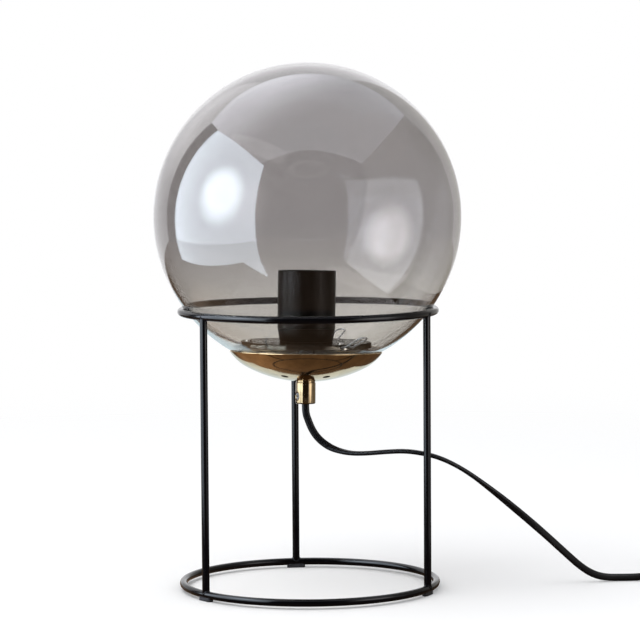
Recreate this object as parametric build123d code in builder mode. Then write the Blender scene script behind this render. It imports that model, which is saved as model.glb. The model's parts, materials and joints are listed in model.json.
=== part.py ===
from build123d import *

import os
from math import asin, atan, cos, degrees, pi, radians, sin, sqrt, tan

# Glass globe table lamp. A clear globe leans a little in the upper ring of a black wire
# stand, with a brass dish under its neck that carries the lamp holder and the cord.
# Millimetres, +Z up. The origin is on the table, on the stand's centreline. The front is -Y.

# Driving dimensions.

# Stand, of coated round bar
bar_d = 6.0
ring_r = 103.3  # centreline of both rings
ring_spacing = 222.2  # centreline of the lower ring to that of the upper ring
leg_angles = {"leg_back": 96.8, "leg_front_left": 216.8, "leg_front_right": 336.8}
leg_cope = 1.5  # a leg's saddle end stops this far from the ring's centreline plane
pad_drop = 2.0  # a pad's sole below the bar
pad_hold = 1.2  # how far a pad climbs round the bar
pad_width = 5.0
pad_length = 15.5

# Globe
globe_d = 250.0
glass_wall = 3.0
seat_gap = 0.3  # between the globe and the ring that it sits in
lean_back = 2.6  # tilt of the globe's axis away from the front, degrees
lean_right = 1.0

# Brass dish under the globe, spun from sheet
dish_rim_r = 62.3
dish_sheet = 0.8
dish_depth = 24.0
dish_crown_r = 105.0  # large arc of the dish's belly
dish_break_r = 48.0  # where the belly's arc turns into the edge's arc
dish_flat_r = 10.2  # flat seat in the middle
rim_to_glass = 1.45  # radially, from the rim's outer edge to the glass
neck_sink = 0.4  # the glass edge below the rim
vent_d = 6.0
vent_count = 6
vent_circle_r = 33.4
gasket_inner_r = 57.0
gasket_margin = 0.3  # the gasket past the glass edge
gasket_play = 0.1  # between the gasket and the dish

# Threaded tube and what it clamps
thread_d = 10.0
thread_gap = 0.05
nipple_bore = 7.5
nipple_in_grip = 8.0
nipple_in_holder = 4.0
washer_edge_gap = 0.2  # the washer inside the dish's flat
washer_height = 1.0
nut_flats = 14.0
nut_height = 3.0
nut_chamfer = 0.4
spacer_d = 14.0
spacer_length = 26.4
cup_sheet = 1.0
cup_flange = 4.0
cup_neck_gap = 0.4  # the cup inside the globe's neck

# Cord grip
grip_d = 16.2
grip_length = 18.5
grip_bore = 7.0
grip_chamfer = 0.5
grip_screw_d = 6.0
grip_screw_height = 6.2  # its axis above the grip's lower face
grip_screw_angle = 207.0
grip_sink_d = 8.5
grip_screw_inset = 0.8  # the screw's face inside the grip's surface
screw_slot_width = 1.0
screw_slot_depth = 1.2

# Spring clips of wire
clip_wire_d = 1.4
clip_width = 8.0  # between the two legs of a loop
clip_angles = (-53.0, 67.0, 187.0)
clip_rise = 7.0  # the loop's tip above the cup
clip_glass_gap = 0.3
clip_root_r = 42.0
clip_out = 2.5  # the wires' bend outside the cup
clip_bend = 5.0
clip_slot_margin = 0.6
rivet_at_r = 47.0
rivet_d = 3.2
rivet_head_d = 12.0
rivet_top_d = 6.5
rivet_head_height = 1.2
rivet_gap = 0.05

# Lamp holder
base_foot_d = 43.0
base_height = 10.7
base_wall = 2.0
base_boss_d = 18.0
base_boss_height = 5.5
spigot_height = 4.0
spigot_wall = 2.1
sleeve_d = 47.0
sleeve_wall = 1.8
sleeve_length = 47.0
sleeve_edge = 0.8  # rounding of the sleeve's upper rim
holder_gap = 0.1
socket_recess = 5.0  # the holder body's top inside the sleeve
body_flange = 3.0
body_core_r = 17.0
shell_bore_r = 13.3
shell_sheet = 0.6
shell_length = 26.0
shell_inset = 1.0  # the threaded shell below the body's top
shell_lip_r = 10.0
contact_well_r = 11.5
contact_well_depth = 3.7
contact_width = 6.0
contact_sheet = 0.6
contact_lift = 3.5
terminal_at = 10.0  # terminal blocks to either side of the axis
terminal_size = (8.0, 7.0, 4.6)
terminal_post_d = 2.6
centre_post_at = 7.0
side_post_at = 8.0
terminal_screw_d = 2.5
terminal_head_d = 4.2
terminal_head_height = 1.8
wire_d = 2.2
wire_pair_at = 1.5  # the two wires to either side of the cord's axis
cord_end_sink = 1.5  # the cord's sheath ends below the threaded tube's top
wire_bend = 2.0
wire_level = 2.1  # the wires above the boss

# Cord, inline switch and plug, which lie on the table
cord_d = 6.0
cord_fit = 0.1
cord_lift = 0.05  # the lowest cord above the table
cord_stubs = (7.0, 3.0, 8.0)  # its straight runs at the grip, the switch and the plug
switch_at = (331.0, 22.0)
switch_length = 62.0
switch_width = 26.0
switch_corner = 9.0
switch_wall = 1.8
switch_parting = 9.0
switch_height = 17.5
switch_entry = 5.0  # the cord inside the switch
switch_boss_d = 7.2
switch_boss_at = (21.0, 7.4)
switch_screw_d = 2.4
switch_screw_play = 0.4
switch_head_d = 5.4
switch_head_height = 2.0
switch_head_inset = 0.6
switch_screw_grip = 6.0
pivot_height = 14.6
pivot_d = 3.0
pivot_play = 0.05
rocker_width = 12.0
rocker_reach = 9.6
rocker_crest = 4.5
rocker_valley = 1.6
rocker_tilt = 8.0  # to either side of level
rocker_side_gap = 0.3
window_end_gap = 0.9
ear_length = 6.0
ear_wall = 2.2
contact_block = (7.0, 6.0, 7.0)
contact_block_at = 11.0
plug_length = 37.0
plug_width = 35.3
plug_height = 13.7
plug_neck = 11.0
plug_shoulder = 22.0
plug_corner = 2.5
plug_edge = 1.2
relief_length = 20.0
relief_d = (10.4, 7.8)
pin_d = 4.0
pin_bare = 9.0  # bare metal at each pin's tip
pin_cover_d = 3.5  # the moulded cover of each pin's root
pin_cover_length = 10.0
pin_core_d = 2.6
pin_pitch = 19.0
pin_root = 8.0

# Coil of the spare cord
coil_centre_x = 405.0
coil_start_r = 42.0
coil_turns = 3  # in each of its two layers
coil_pitch = 6.7
coil_layer = 6.55

# Places that follow from the sizes

bar_r = bar_d / 2
cord_r = cord_d / 2
lower_z = pad_drop + bar_r
upper_z = lower_z + ring_spacing
globe_r = globe_d / 2
glass_inner_r = globe_r - glass_wall
globe_z = upper_z + sqrt((globe_r + bar_r + seat_gap) ** 2 - ring_r**2)

# The globe, the dish and all that hangs on them share one leaning axis through the
# globe's centre. Heights h are along that axis from the centre, and negative below it.
unit = Plane(
    origin=(0, 0, globe_z),
    x_dir=(1, 0, -tan(radians(lean_right))),
    z_dir=(tan(radians(lean_right)), tan(radians(lean_back)), 1),
)
profile = Plane(origin=unit.origin, x_dir=unit.x_dir, z_dir=-unit.y_dir)
unit_axis = Axis(unit.origin, unit.z_dir)

rim_h = -sqrt(globe_r**2 - (dish_rim_r - rim_to_glass) ** 2)
neck_h = rim_h - neck_sink
neck_outer_r = sqrt(globe_r**2 - neck_h**2)
neck_inner_r = sqrt(glass_inner_r**2 - neck_h**2)
dish_h = rim_h - dish_depth
washer_h = dish_h + dish_sheet
nut_h = washer_h + washer_height
spacer_h = nut_h + nut_height
cup_h = spacer_h + spacer_length  # underside of the cup's plate
cup_top_h = cup_h + cup_sheet
nipple_top_h = cup_top_h + nipple_in_holder
grip_h = dish_h - grip_length  # the grip's lower face, where the cord comes out
base_top_h = cup_top_h + base_height
sleeve_top_h = base_top_h + sleeve_length
sleeve_inner_r = sleeve_d / 2 - sleeve_wall
body_h = base_top_h + spigot_height
body_top_h = sleeve_top_h - socket_recess
shell_top_h = body_top_h - shell_inset
shell_h = shell_top_h - shell_length
well_h = shell_h - contact_well_depth
cord_end_h = nipple_top_h - cord_end_sink


def at_angle(radius, degrees_round):
    """Point on a circle about the local origin."""
    return Vector(radius, 0).rotate(Axis.Z, degrees_round)


def turned(plane, degrees_round):
    """The same plane turned about its own normal."""
    x_dir = plane.x_dir.rotate(Axis((0, 0, 0), plane.z_dir), degrees_round)
    return Plane(origin=plane.origin, x_dir=x_dir, z_dir=plane.z_dir)


def ring_bar(height):
    """Round bar bent into a ring."""
    with BuildPart() as ring:
        with Locations((0, 0, height)):
            Torus(ring_r, bar_r)
    return ring.part


def tube(outer_d, inner_d, low, high):
    """Plain tube on the globe's axis between two heights."""
    with BuildPart() as body:
        with BuildSketch(unit.offset(low)):
            Circle(outer_d / 2)
            Circle(inner_d / 2, mode=Mode.SUBTRACT)
        extrude(amount=high - low)
    return body.part


def write(piece, label):
    """Name a finished piece and write its file."""
    piece.label = label
    export_step(piece, f"parts/{label}.step")


os.makedirs("parts", exist_ok=True)

# Stand

lower_ring = ring_bar(lower_z)
upper_ring = ring_bar(upper_z)
write(lower_ring, "lower_ring")
write(upper_ring, "upper_ring")

for leg_name, leg_angle in leg_angles.items():
    with BuildPart() as leg:
        with BuildSketch(Plane.XY.offset(lower_z + leg_cope)):
            with Locations(at_angle(ring_r, leg_angle)):
                Circle(bar_r)
        extrude(amount=ring_spacing - 2 * leg_cope)
        add(lower_ring, mode=Mode.SUBTRACT)
        add(upper_ring, mode=Mode.SUBTRACT)
    write(leg.part, leg_name)

# Glide pads, one under the lower ring at each leg
pad_half_angle = degrees((pad_length - pad_width) / 2 / ring_r)
with BuildLine() as pad_runs:
    for leg_angle in leg_angles.values():
        CenterArc((0, 0), ring_r, leg_angle - pad_half_angle, 2 * pad_half_angle)
with BuildPart() as glide_pads:
    with BuildSketch():
        for run in pad_runs.edges():
            SlotArc(run, pad_width)
    extrude(amount=pad_drop + pad_hold)
    add(lower_ring, mode=Mode.SUBTRACT)
write(glide_pads.part, "glide_pads")

# Globe: a blown sphere cut off flat at its neck
with BuildPart() as glass_globe:
    with BuildSketch(profile):
        with BuildLine():
            outer_start = degrees(asin(neck_h / globe_r))
            inner_start = degrees(asin(neck_h / glass_inner_r))
            outer_wall = CenterArc((0, 0), globe_r, outer_start, 90 - outer_start)
            inner_wall = CenterArc((0, 0), glass_inner_r, inner_start, 90 - inner_start)
            Line(outer_wall @ 0, inner_wall @ 0)
            Line(outer_wall @ 1, inner_wall @ 1)
        make_face()
    revolve(axis=unit_axis)
write(glass_globe.part, "glass_globe")

# Dish: a flat seat, a large arc and a tighter arc that ends at the rim
crown_centre = Vector(0, dish_h + sqrt(dish_crown_r**2 - dish_flat_r**2))
flat_angle = asin(dish_flat_r / dish_crown_r)
break_angle = asin(dish_break_r / dish_crown_r)
break_point = crown_centre + Vector(sin(break_angle), -cos(break_angle)) * dish_crown_r
inward = Vector(-sin(break_angle), cos(break_angle))
to_rim = Vector(dish_rim_r, rim_h) - break_point
edge_r = to_rim.length**2 / (2 * to_rim.dot(inward))
edge_centre = break_point + inward * edge_r


def gasket_seat_h(radius):
    """Height of the gasket's underside, just clear of the dish's inner face."""
    seat_r = edge_r - dish_sheet - gasket_play
    return edge_centre.Y - sqrt(seat_r**2 - (radius - edge_centre.X) ** 2)


with BuildPart() as brass_dish:
    with BuildSketch(profile):
        with BuildLine():
            flat = Line((thread_d / 2 + thread_gap, dish_h), (dish_flat_r, dish_h))
            belly = CenterArc(
                crown_centre,
                dish_crown_r,
                degrees(flat_angle) - 90,
                degrees(break_angle - flat_angle),
            )
            edge = TangentArc(belly @ 1, (dish_rim_r, rim_h), tangent=belly % 1)
            offset(amount=dish_sheet, side=Side.LEFT)
        make_face()
    revolve(axis=unit_axis)
    split(bisect_by=unit.offset(rim_h), keep=Keep.BOTTOM)
    with BuildSketch(unit.offset(dish_h)):
        with PolarLocations(vent_circle_r, vent_count):
            Circle(vent_d / 2)
    extrude(amount=dish_depth, mode=Mode.SUBTRACT)
write(brass_dish.part, "brass_dish")

# Gasket between the glass edge and the dish
gasket_outer_r = neck_outer_r + gasket_margin
with BuildPart() as glass_gasket:
    with BuildSketch(profile):
        with BuildLine():
            top = Line((gasket_inner_r, neck_h), (gasket_outer_r, neck_h))
            outer = Line(top @ 1, (gasket_outer_r, gasket_seat_h(gasket_outer_r)))
            inner = Line(top @ 0, (gasket_inner_r, gasket_seat_h(gasket_inner_r)))
            middle_r = (gasket_inner_r + gasket_outer_r) / 2
            ThreePointArc(outer @ 1, (middle_r, gasket_seat_h(middle_r)), inner @ 1)
        make_face()
    revolve(axis=unit_axis)
write(glass_gasket.part, "glass_gasket")

# Cord grip, screwed on the threaded tube under the dish, with a screw that holds the cord
grip_side = Plane(
    origin=unit.origin + unit.z_dir * (grip_h + grip_screw_height),
    x_dir=unit.z_dir,
    z_dir=turned(unit, grip_screw_angle).x_dir,
)
with BuildPart() as cord_grip:
    with BuildSketch(unit.offset(grip_h)):
        Circle(grip_d / 2)
    extrude(amount=grip_length)
    chamfer(cord_grip.edges().filter_by(GeomType.CIRCLE), grip_chamfer)
    with BuildSketch(unit.offset(grip_h)):
        Circle(grip_bore / 2)
    extrude(amount=grip_length, mode=Mode.SUBTRACT)
    with BuildSketch(unit.offset(dish_h)):
        Circle(thread_d / 2 + thread_gap)
    extrude(amount=-nipple_in_grip, mode=Mode.SUBTRACT)
    with Locations(grip_side.offset(grip_d / 2)):
        CounterSinkHole(grip_screw_d / 2 + thread_gap, grip_sink_d / 2, depth=grip_d / 2)
write(cord_grip.part, "cord_grip")

screw_face_r = grip_d / 2 - grip_screw_inset
with BuildPart() as grip_screw:
    with BuildSketch(grip_side.offset(cord_r + cord_fit)):
        Circle(grip_screw_d / 2)
    extrude(amount=screw_face_r - cord_r - cord_fit)
    with BuildSketch(grip_side.offset(screw_face_r)):
        Rectangle(screw_slot_width, grip_screw_d)
    extrude(amount=-screw_slot_depth, mode=Mode.SUBTRACT)
write(grip_screw.part, "grip_screw")

# Threaded tube, with the washer, nut and spacer on it
write(tube(thread_d, nipple_bore, dish_h - nipple_in_grip, nipple_top_h), "threaded_tube")
thread_hole_d = thread_d + 2 * thread_gap
write(tube(2 * (dish_flat_r - washer_edge_gap), thread_hole_d, washer_h, nut_h), "dish_washer")
with BuildPart() as dish_nut:
    with BuildSketch(unit.offset(nut_h)):
        RegularPolygon(nut_flats / 2, 6, major_radius=False)
        Circle(thread_hole_d / 2, mode=Mode.SUBTRACT)
    extrude(amount=nut_height)
    chamfer(dish_nut.faces().sort_by(unit_axis)[-1].outer_wire().edges(), nut_chamfer)
write(dish_nut.part, "dish_nut")
write(tube(spacer_d, thread_hole_d, spacer_h, cup_h), "spacer_tube")

# Shallow cup that carries the spring clips, upside down inside the neck
cup_r = neck_inner_r - cup_neck_gap
clip_slot = clip_width + clip_wire_d + 2 * clip_slot_margin
with BuildPart() as clip_cup:
    with BuildSketch(unit.offset(cup_top_h)):
        Circle(cup_r)
    extrude(amount=-cup_flange)
    fillet(clip_cup.edges().sort_by(unit_axis)[-1], cup_sheet)
    with BuildSketch(unit.offset(cup_h)):
        Circle(cup_r - cup_sheet)
    extrude(amount=-cup_flange, mode=Mode.SUBTRACT)
    with BuildSketch(unit.offset(cup_h)):
        Circle(thread_d / 2 + thread_gap)
        for clip_angle in clip_angles:
            with Locations(at_angle(rivet_at_r, clip_angle)):
                Circle(rivet_d / 2 + rivet_gap)
    extrude(amount=cup_sheet, mode=Mode.SUBTRACT)
    with BuildSketch(unit.offset(cup_h)):
        for clip_angle in clip_angles:
            with Locations(Location(at_angle(cup_r, clip_angle), clip_angle)):
                Rectangle(4 * cup_sheet, clip_slot)
    extrude(amount=-cup_flange, mode=Mode.SUBTRACT)
write(clip_cup.part, "clip_cup")

# Spring clips: hairpins of wire whose loops press against the inside of the globe
wire_r = clip_wire_d / 2
clip_tip_h = cup_top_h + clip_rise
clip_tip_r = sqrt((glass_inner_r - wire_r - clip_glass_gap) ** 2 - clip_tip_h**2)
clip_wire_h = cup_h - wire_r - rivet_gap
clip_half = clip_width / 2
clip_slope = Vector(clip_tip_r - cup_r - clip_out, clip_tip_h - clip_wire_h).normalized()
clip_loop = Vector(clip_tip_r, clip_tip_h) - clip_slope * clip_half  # where the loop begins
with BuildPart() as spring_clips:
    for clip_angle in clip_angles:
        with BuildLine(turned(unit, clip_angle)) as clip_run:
            clip_legs = [
                FilletPolyline(
                    (clip_root_r, side, clip_wire_h),
                    (cup_r + clip_out, side, clip_wire_h),
                    (clip_loop.X, side, clip_loop.Y),
                    radius=clip_bend,
                )
                for side in (-clip_half, clip_half)
            ]
            ThreePointArc(clip_legs[0] @ 1, (clip_tip_r, 0, clip_tip_h), clip_legs[1] @ 1)
        clip_wire = clip_run.wire()
        with BuildSketch(Plane(origin=clip_wire @ 0, z_dir=clip_wire % 0)):
            Circle(wire_r)
        sweep(path=clip_wire)
write(spring_clips.part, "spring_clips")

# A rivet in each clip: its wide head clamps both wires against the cup
with BuildPart() as clip_rivets:
    for clip_angle in clip_angles:
        spot = at_angle(rivet_at_r, clip_angle)
        clamp_h = cup_h - clip_wire_d - 2 * rivet_gap
        with BuildSketch(unit.offset(clamp_h - rivet_head_height)):
            with Locations(spot):
                Circle(rivet_head_d / 2)
        extrude(amount=rivet_head_height)
        with BuildSketch(unit.offset(clamp_h)):
            with Locations(spot):
                Circle(rivet_d / 2)
        extrude(amount=cup_top_h - clamp_h)
        with BuildSketch(unit.offset(cup_top_h)):
            with Locations(spot):
                Circle(rivet_top_d / 2)
        extrude(amount=rivet_head_height, taper=30)
write(clip_rivets.part, "clip_rivets")

# Lamp holder: base, sleeve, insulating body and its contacts

with BuildPart() as holder_base:
    with BuildSketch(profile):
        with BuildLine():
            Polyline(
                (thread_d / 2 + thread_gap, cup_top_h),
                (base_foot_d / 2, cup_top_h),
                (sleeve_d / 2, base_top_h),
                (sleeve_inner_r - holder_gap, base_top_h),
                (sleeve_inner_r - holder_gap, body_h),
                (sleeve_inner_r - holder_gap - spigot_wall, body_h),
                (sleeve_inner_r - holder_gap - spigot_wall, base_top_h),
                (base_foot_d / 2 - base_wall, cup_top_h + base_wall),
                (base_boss_d / 2, cup_top_h + base_wall),
                (base_boss_d / 2, cup_top_h + base_boss_height),
                (thread_d / 2 + thread_gap, cup_top_h + base_boss_height),
                close=True,
            )
        make_face()
    revolve(axis=unit_axis)
write(holder_base.part, "holder_base")

with BuildPart() as holder_sleeve:
    with BuildSketch(unit.offset(base_top_h)):
        Circle(sleeve_d / 2)
        Circle(sleeve_inner_r, mode=Mode.SUBTRACT)
    extrude(amount=sleeve_length)
    fillet(holder_sleeve.edges().group_by(unit_axis)[-1], sleeve_edge)
write(holder_sleeve.part, "holder_sleeve")

shell_outer_r = shell_bore_r + shell_sheet
with BuildPart() as holder_body:
    with BuildSketch(unit.offset(body_h)):
        Circle(body_core_r)
    extrude(amount=body_top_h - body_h)
    for flange_h in (body_h, body_top_h - body_flange):
        with BuildSketch(unit.offset(flange_h)):
            Circle(sleeve_inner_r - holder_gap)
        extrude(amount=body_flange)
    with BuildSketch(unit.offset(shell_h)):
        Circle(shell_outer_r + thread_gap)
    extrude(amount=body_top_h - shell_h, mode=Mode.SUBTRACT)
    with BuildSketch(unit.offset(well_h)):
        Circle(contact_well_r)
    extrude(amount=contact_well_depth, mode=Mode.SUBTRACT)
    with BuildSketch(unit.offset(body_h)):
        with Locations((-centre_post_at, 0), (side_post_at, 0)):
            Circle(terminal_post_d / 2 + thread_gap)
    extrude(amount=well_h - body_h, mode=Mode.SUBTRACT)
write(holder_body.part, "holder_body")

with BuildPart() as threaded_shell:
    with BuildSketch(unit.offset(shell_h)):
        Circle(shell_outer_r)
    extrude(amount=shell_length)
    with BuildSketch(unit.offset(shell_h + shell_sheet)):
        Circle(shell_bore_r)
    extrude(amount=shell_length, mode=Mode.SUBTRACT)
    with BuildSketch(unit.offset(shell_h)):
        Circle(shell_lip_r)
    extrude(amount=shell_sheet, mode=Mode.SUBTRACT)
write(threaded_shell.part, "threaded_shell")

# Centre contact: a leaf that springs up under the bulb's tip
leaf_foot = centre_post_at + terminal_post_d / 2
leaf_knee = centre_post_at - contact_width / 2
with BuildPart() as centre_contact:
    with BuildSketch(profile):
        with BuildLine():
            Polyline(
                (-leaf_foot, well_h),
                (-leaf_knee, well_h),
                (contact_sheet, well_h + contact_lift),
                (leaf_knee, well_h + contact_lift),
                (leaf_knee, well_h + contact_lift + contact_sheet),
                (0, well_h + contact_lift + contact_sheet),
                (-leaf_knee - contact_sheet / 2, well_h + contact_sheet),
                (-leaf_foot, well_h + contact_sheet),
                close=True,
            )
        make_face()
    extrude(amount=contact_width / 2, both=True)
write(centre_contact.part, "centre_contact")

# Side contact: an upright tab under the threaded shell's lip
tab_face = (shell_lip_r + contact_well_r) / 2
with BuildPart() as side_contact:
    with BuildSketch(profile):
        with BuildLine():
            Polyline(
                (side_post_at - terminal_post_d / 2, well_h),
                (tab_face, well_h),
                (tab_face, shell_h),
                (tab_face - contact_sheet, shell_h),
                (tab_face - contact_sheet, well_h + contact_sheet),
                (side_post_at - terminal_post_d / 2, well_h + contact_sheet),
                close=True,
            )
        make_face()
    extrude(amount=contact_width / 3, both=True)
write(side_contact.part, "side_contact")

# Terminal blocks under the body, each with a post through it to its contact
block_long, block_wide, block_high = terminal_size
terminal_h = body_h - block_high
screw_h = body_h - block_high / 2
side_ways = ((-1, centre_post_at), (1, side_post_at))
screw_start = block_wide / 4
with BuildPart() as terminal_screws:
    for way, post_at in side_ways:
        with BuildSketch(profile.offset(-screw_start)):
            with Locations((way * terminal_at, screw_h)):
                Circle(terminal_screw_d / 2)
        extrude(amount=block_wide / 2 + screw_start)
        with BuildSketch(profile.offset(block_wide / 2)):
            with Locations((way * terminal_at, screw_h)):
                Circle(terminal_head_d / 2)
        extrude(amount=terminal_head_height)
        with BuildSketch(profile.offset(block_wide / 2 + terminal_head_height)):
            with Locations((way * terminal_at, screw_h)):
                Rectangle(terminal_head_d, contact_sheet)
        extrude(amount=-terminal_head_height / 2, mode=Mode.SUBTRACT)
write(terminal_screws.part, "terminal_screws")

with BuildPart() as terminal_blocks:
    for way, post_at in side_ways:
        with BuildSketch(unit.offset(terminal_h)):
            with Locations((way * terminal_at, 0)):
                Rectangle(block_long, block_wide)
        extrude(amount=block_high)
        with BuildSketch(unit.offset(body_h)):
            with Locations((way * post_at, 0)):
                Circle(terminal_post_d / 2)
        extrude(amount=well_h - body_h)
        with BuildSketch(profile.offset(-screw_start)):
            with Locations((way * terminal_at, screw_h)):
                Circle(terminal_screw_d / 2 + thread_gap)
        extrude(amount=block_wide, mode=Mode.SUBTRACT)
write(terminal_blocks.part, "terminal_blocks")

# The cord inside the grip and the threaded tube, and its two wires to the terminals
with BuildPart() as cord_in_lamp:
    with BuildSketch(unit.offset(grip_h)):
        Circle(cord_r)
    extrude(amount=cord_end_h - grip_h)
write(cord_in_lamp.part, "cord_in_lamp")

wire_turn_h = cup_top_h + base_boss_height + wire_level
with BuildPart() as holder_wires:
    for way in (-1, 1):
        with BuildLine(profile) as wire_run:
            FilletPolyline(
                (way * wire_pair_at, cord_end_h),
                (way * wire_pair_at, wire_turn_h),
                (way * terminal_at, wire_turn_h),
                (way * terminal_at, terminal_h),
                radius=wire_bend,
            )
        with BuildSketch(unit.offset(cord_end_h)):
            with Locations((way * wire_pair_at, 0)):
                Circle(wire_d / 2)
        sweep(path=wire_run.wire())
write(holder_wires.part, "holder_wires")

# Cord, free from the grip to the switch, then to the coil and to the plug


def bend_radii(points):
    """The largest arc that both runs at each corner leave room for."""
    radii = []
    for before, corner, after in zip(points, points[1:], points[2:]):
        run_in, run_out = corner - before, after - corner
        half_turn = radians(run_in.get_angle(run_out)) / 2
        radii.append(0.45 * min(run_in.length, run_out.length) / tan(half_turn))
    return radii


def tube_on(path, label):
    """Round tube along a path, with its volume compared with section times length."""
    with BuildPart() as cord:
        with BuildSketch(Plane(origin=path @ 0, z_dir=path % 0)):
            Circle(cord_r)
        sweep(path=path)
    share = cord.part.volume / (pi * cord_r**2 * path.length)
    print(f"{label}: length {path.length:.1f}, volume over section x length {share:.4f}")
    write(cord.part, label)
    return path.length


def free_cord(points, label):
    """A free stretch of the cord: straight runs joined by arcs."""
    points = [Vector(*point) for point in points]
    radii = bend_radii(points)
    print(f"{label}: bend radii", [round(radius) for radius in radii])
    with BuildLine() as line:
        FilletPolyline(*points, radius=radii)
    return tube_on(line.wire(), label)


switch_x, cord_y = switch_at
rest_z = cord_r + cord_lift
exit_point = unit.origin + unit.z_dir * grip_h
grip_stub, switch_stub, plug_stub = cord_stubs
lead_points = [
    exit_point,
    exit_point - unit.z_dir * grip_stub,
    (-0.4, -7.2, 138.0),
    (2.4, -7.6, 131.0),
    (6.6, -8.3, 124.6),
    (12.8, -9.4, 119.0),
    (21.0, -11.3, 114.6),
    (33.6, -15.3, 111.9),
    (47.0, -19.5, 112.4),
    (63.0, -23.6, 114.2),
    (78.0, -27.6, 115.2),
    (91.4, -31.0, 113.7),
    (104.3, -30.5, 110.3),
    (117.3, -28.3, 104.1),
    (131.0, -26.1, 95.5),
    (150.0, -22.8, 80.7),
    (169.8, -14.7, 63.6),
    (190.0, -4.9, 45.2),
    (208.0, 3.8, 27.8),
    (222.0, 10.4, 14.4),
    (233.0, 15.6, 6.8),
    (244.0, 19.2, 3.4),
    (257.0, 21.3, rest_z),
    (270.0, 21.9, rest_z),
    (281.0, 22.0, 4.4),
    (289.0, 22.0, 7.0),
    (switch_x - switch_length / 2 - switch_stub, cord_y, switch_parting),
    (switch_x - switch_length / 2 + switch_entry, cord_y, switch_parting),
]
lead_length = free_cord(lead_points, "cord_lead")

# Coil: in on the lower layer, up in the half turn where it reverses, out on the upper one
coil_drift = coil_pitch / (2 * pi)
coil_skew = atan(coil_drift / coil_start_r)
coil_centre = Vector(coil_centre_x, cord_y + coil_start_r * cos(coil_skew), 0)
coil_inner_r = coil_start_r - coil_pitch * coil_turns
spiral_angle = 2 * pi * coil_turns


def coil_point(angle):
    """Point and direction of the coil, an angle in radians past its start."""
    past = angle - spiral_angle
    if past < 0:
        radius, drift = coil_start_r - coil_drift * angle, -coil_drift
        height, climb = rest_z, 0
    elif past < pi:
        radius = coil_inner_r - coil_drift * (past - past**2 / pi)
        drift = -coil_drift * (1 - 2 * past / pi)
        share = past / pi
        height = rest_z + coil_layer * share**2 * (3 - 2 * share)
        climb = coil_layer * 6 * share * (1 - share) / pi
    else:
        radius, drift = coil_inner_r + coil_drift * (past - pi), coil_drift
        height, climb = rest_z + coil_layer, 0
    way = angle - pi / 2 - coil_skew
    outward = Vector(cos(way), sin(way), 0)
    along = Vector(-sin(way), cos(way), 0)
    point = coil_centre + outward * radius + Vector(0, 0, height)
    return point, (outward * drift + along * radius + Vector(0, 0, climb)).normalized()


quarters = 4 * (2 * coil_turns) + 2
stations = [coil_point(quarter * pi / 2) for quarter in range(quarters + 1)]
with BuildLine() as coil_line:
    first, first_way = stations[0]
    Line(first - first_way * cord_d, first)
    for (start, start_way), (end, end_way) in zip(stations, stations[1:]):
        chord, ways = end - start, start_way + end_way
        spread = 2 * (1 - start_way.dot(end_way))
        slant = chord.dot(ways)
        reach = (sqrt(slant**2 + spread * chord.dot(chord)) - slant) / spread
        joint = (start + start_way * reach + end - end_way * reach) * 0.5
        first_arc = TangentArc(start, joint, tangent=start_way)
        TangentArc(joint, end, tangent=first_arc % 1)
    last, last_way = stations[-1]
    Line(last, last + last_way * cord_d)
coil_path = coil_line.wire()
coil_length = tube_on(coil_path, "cord_coil")

# Least gap between the coil's own turns, on points 3 mm apart along it
samples = int(coil_path.length / (cord_d / 2))
spots = [coil_path @ (index / samples) for index in range(samples + 1)]
near = 3 * cord_d  # along the coil, closer spots are on the same bend
apart = int(near / coil_path.length * samples)
least = min(
    (spots[i] - spots[j]).length for i in range(samples + 1) for j in range(i + apart, samples + 1)
)
print(f"cord_coil: least gap to itself {least - cord_d:.2f}")

mid_points = [
    (switch_x + switch_length / 2 - switch_entry, cord_y, switch_parting),
    (switch_x + switch_length / 2 + switch_stub, cord_y, switch_parting),
    (375.5, 22.0, 6.3),
    (387.0, 22.0, rest_z),
    first - first_way * cord_d,
]
mid_length = free_cord(mid_points, "cord_mid")

plug_y = 107.0
plug_z = plug_height / 2
relief_x = 366.0  # the relief's end, where the cord goes in
tail_start = last + last_way * cord_d
tail_points = [
    tail_start,
    tail_start + last_way * plug_stub,
    (383.5, 107.0, 8.4),
    (relief_x + plug_stub, plug_y, plug_z),
    (relief_x, plug_y, plug_z),
]
tail_length = free_cord(tail_points, "cord_tail")
inside_switch = switch_length - 2 * switch_entry
whole = lead_length + inside_switch + mid_length + coil_length + tail_length
print(f"cord from the grip to the plug: {whole:.0f}")

# Inline switch, two shells with a rocker in the upper one

switch_plane = Plane((switch_x, cord_y, 0))
half_length, half_width = switch_length / 2, switch_width / 2
boss_x, boss_y = switch_boss_at
boss_spots = ((boss_x, boss_y), (-boss_x, -boss_y))
pivot_plane = Plane(
    origin=(switch_x, cord_y, pivot_height), x_dir=(1, 0, 0), z_dir=(0, -1, 0)
)
window = (2 * (rocker_reach + window_end_gap), rocker_width + 2 * rocker_side_gap)
entry_plane = Plane(
    origin=(switch_x, cord_y, switch_parting), x_dir=(0, 1, 0), z_dir=(1, 0, 0)
)

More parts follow.
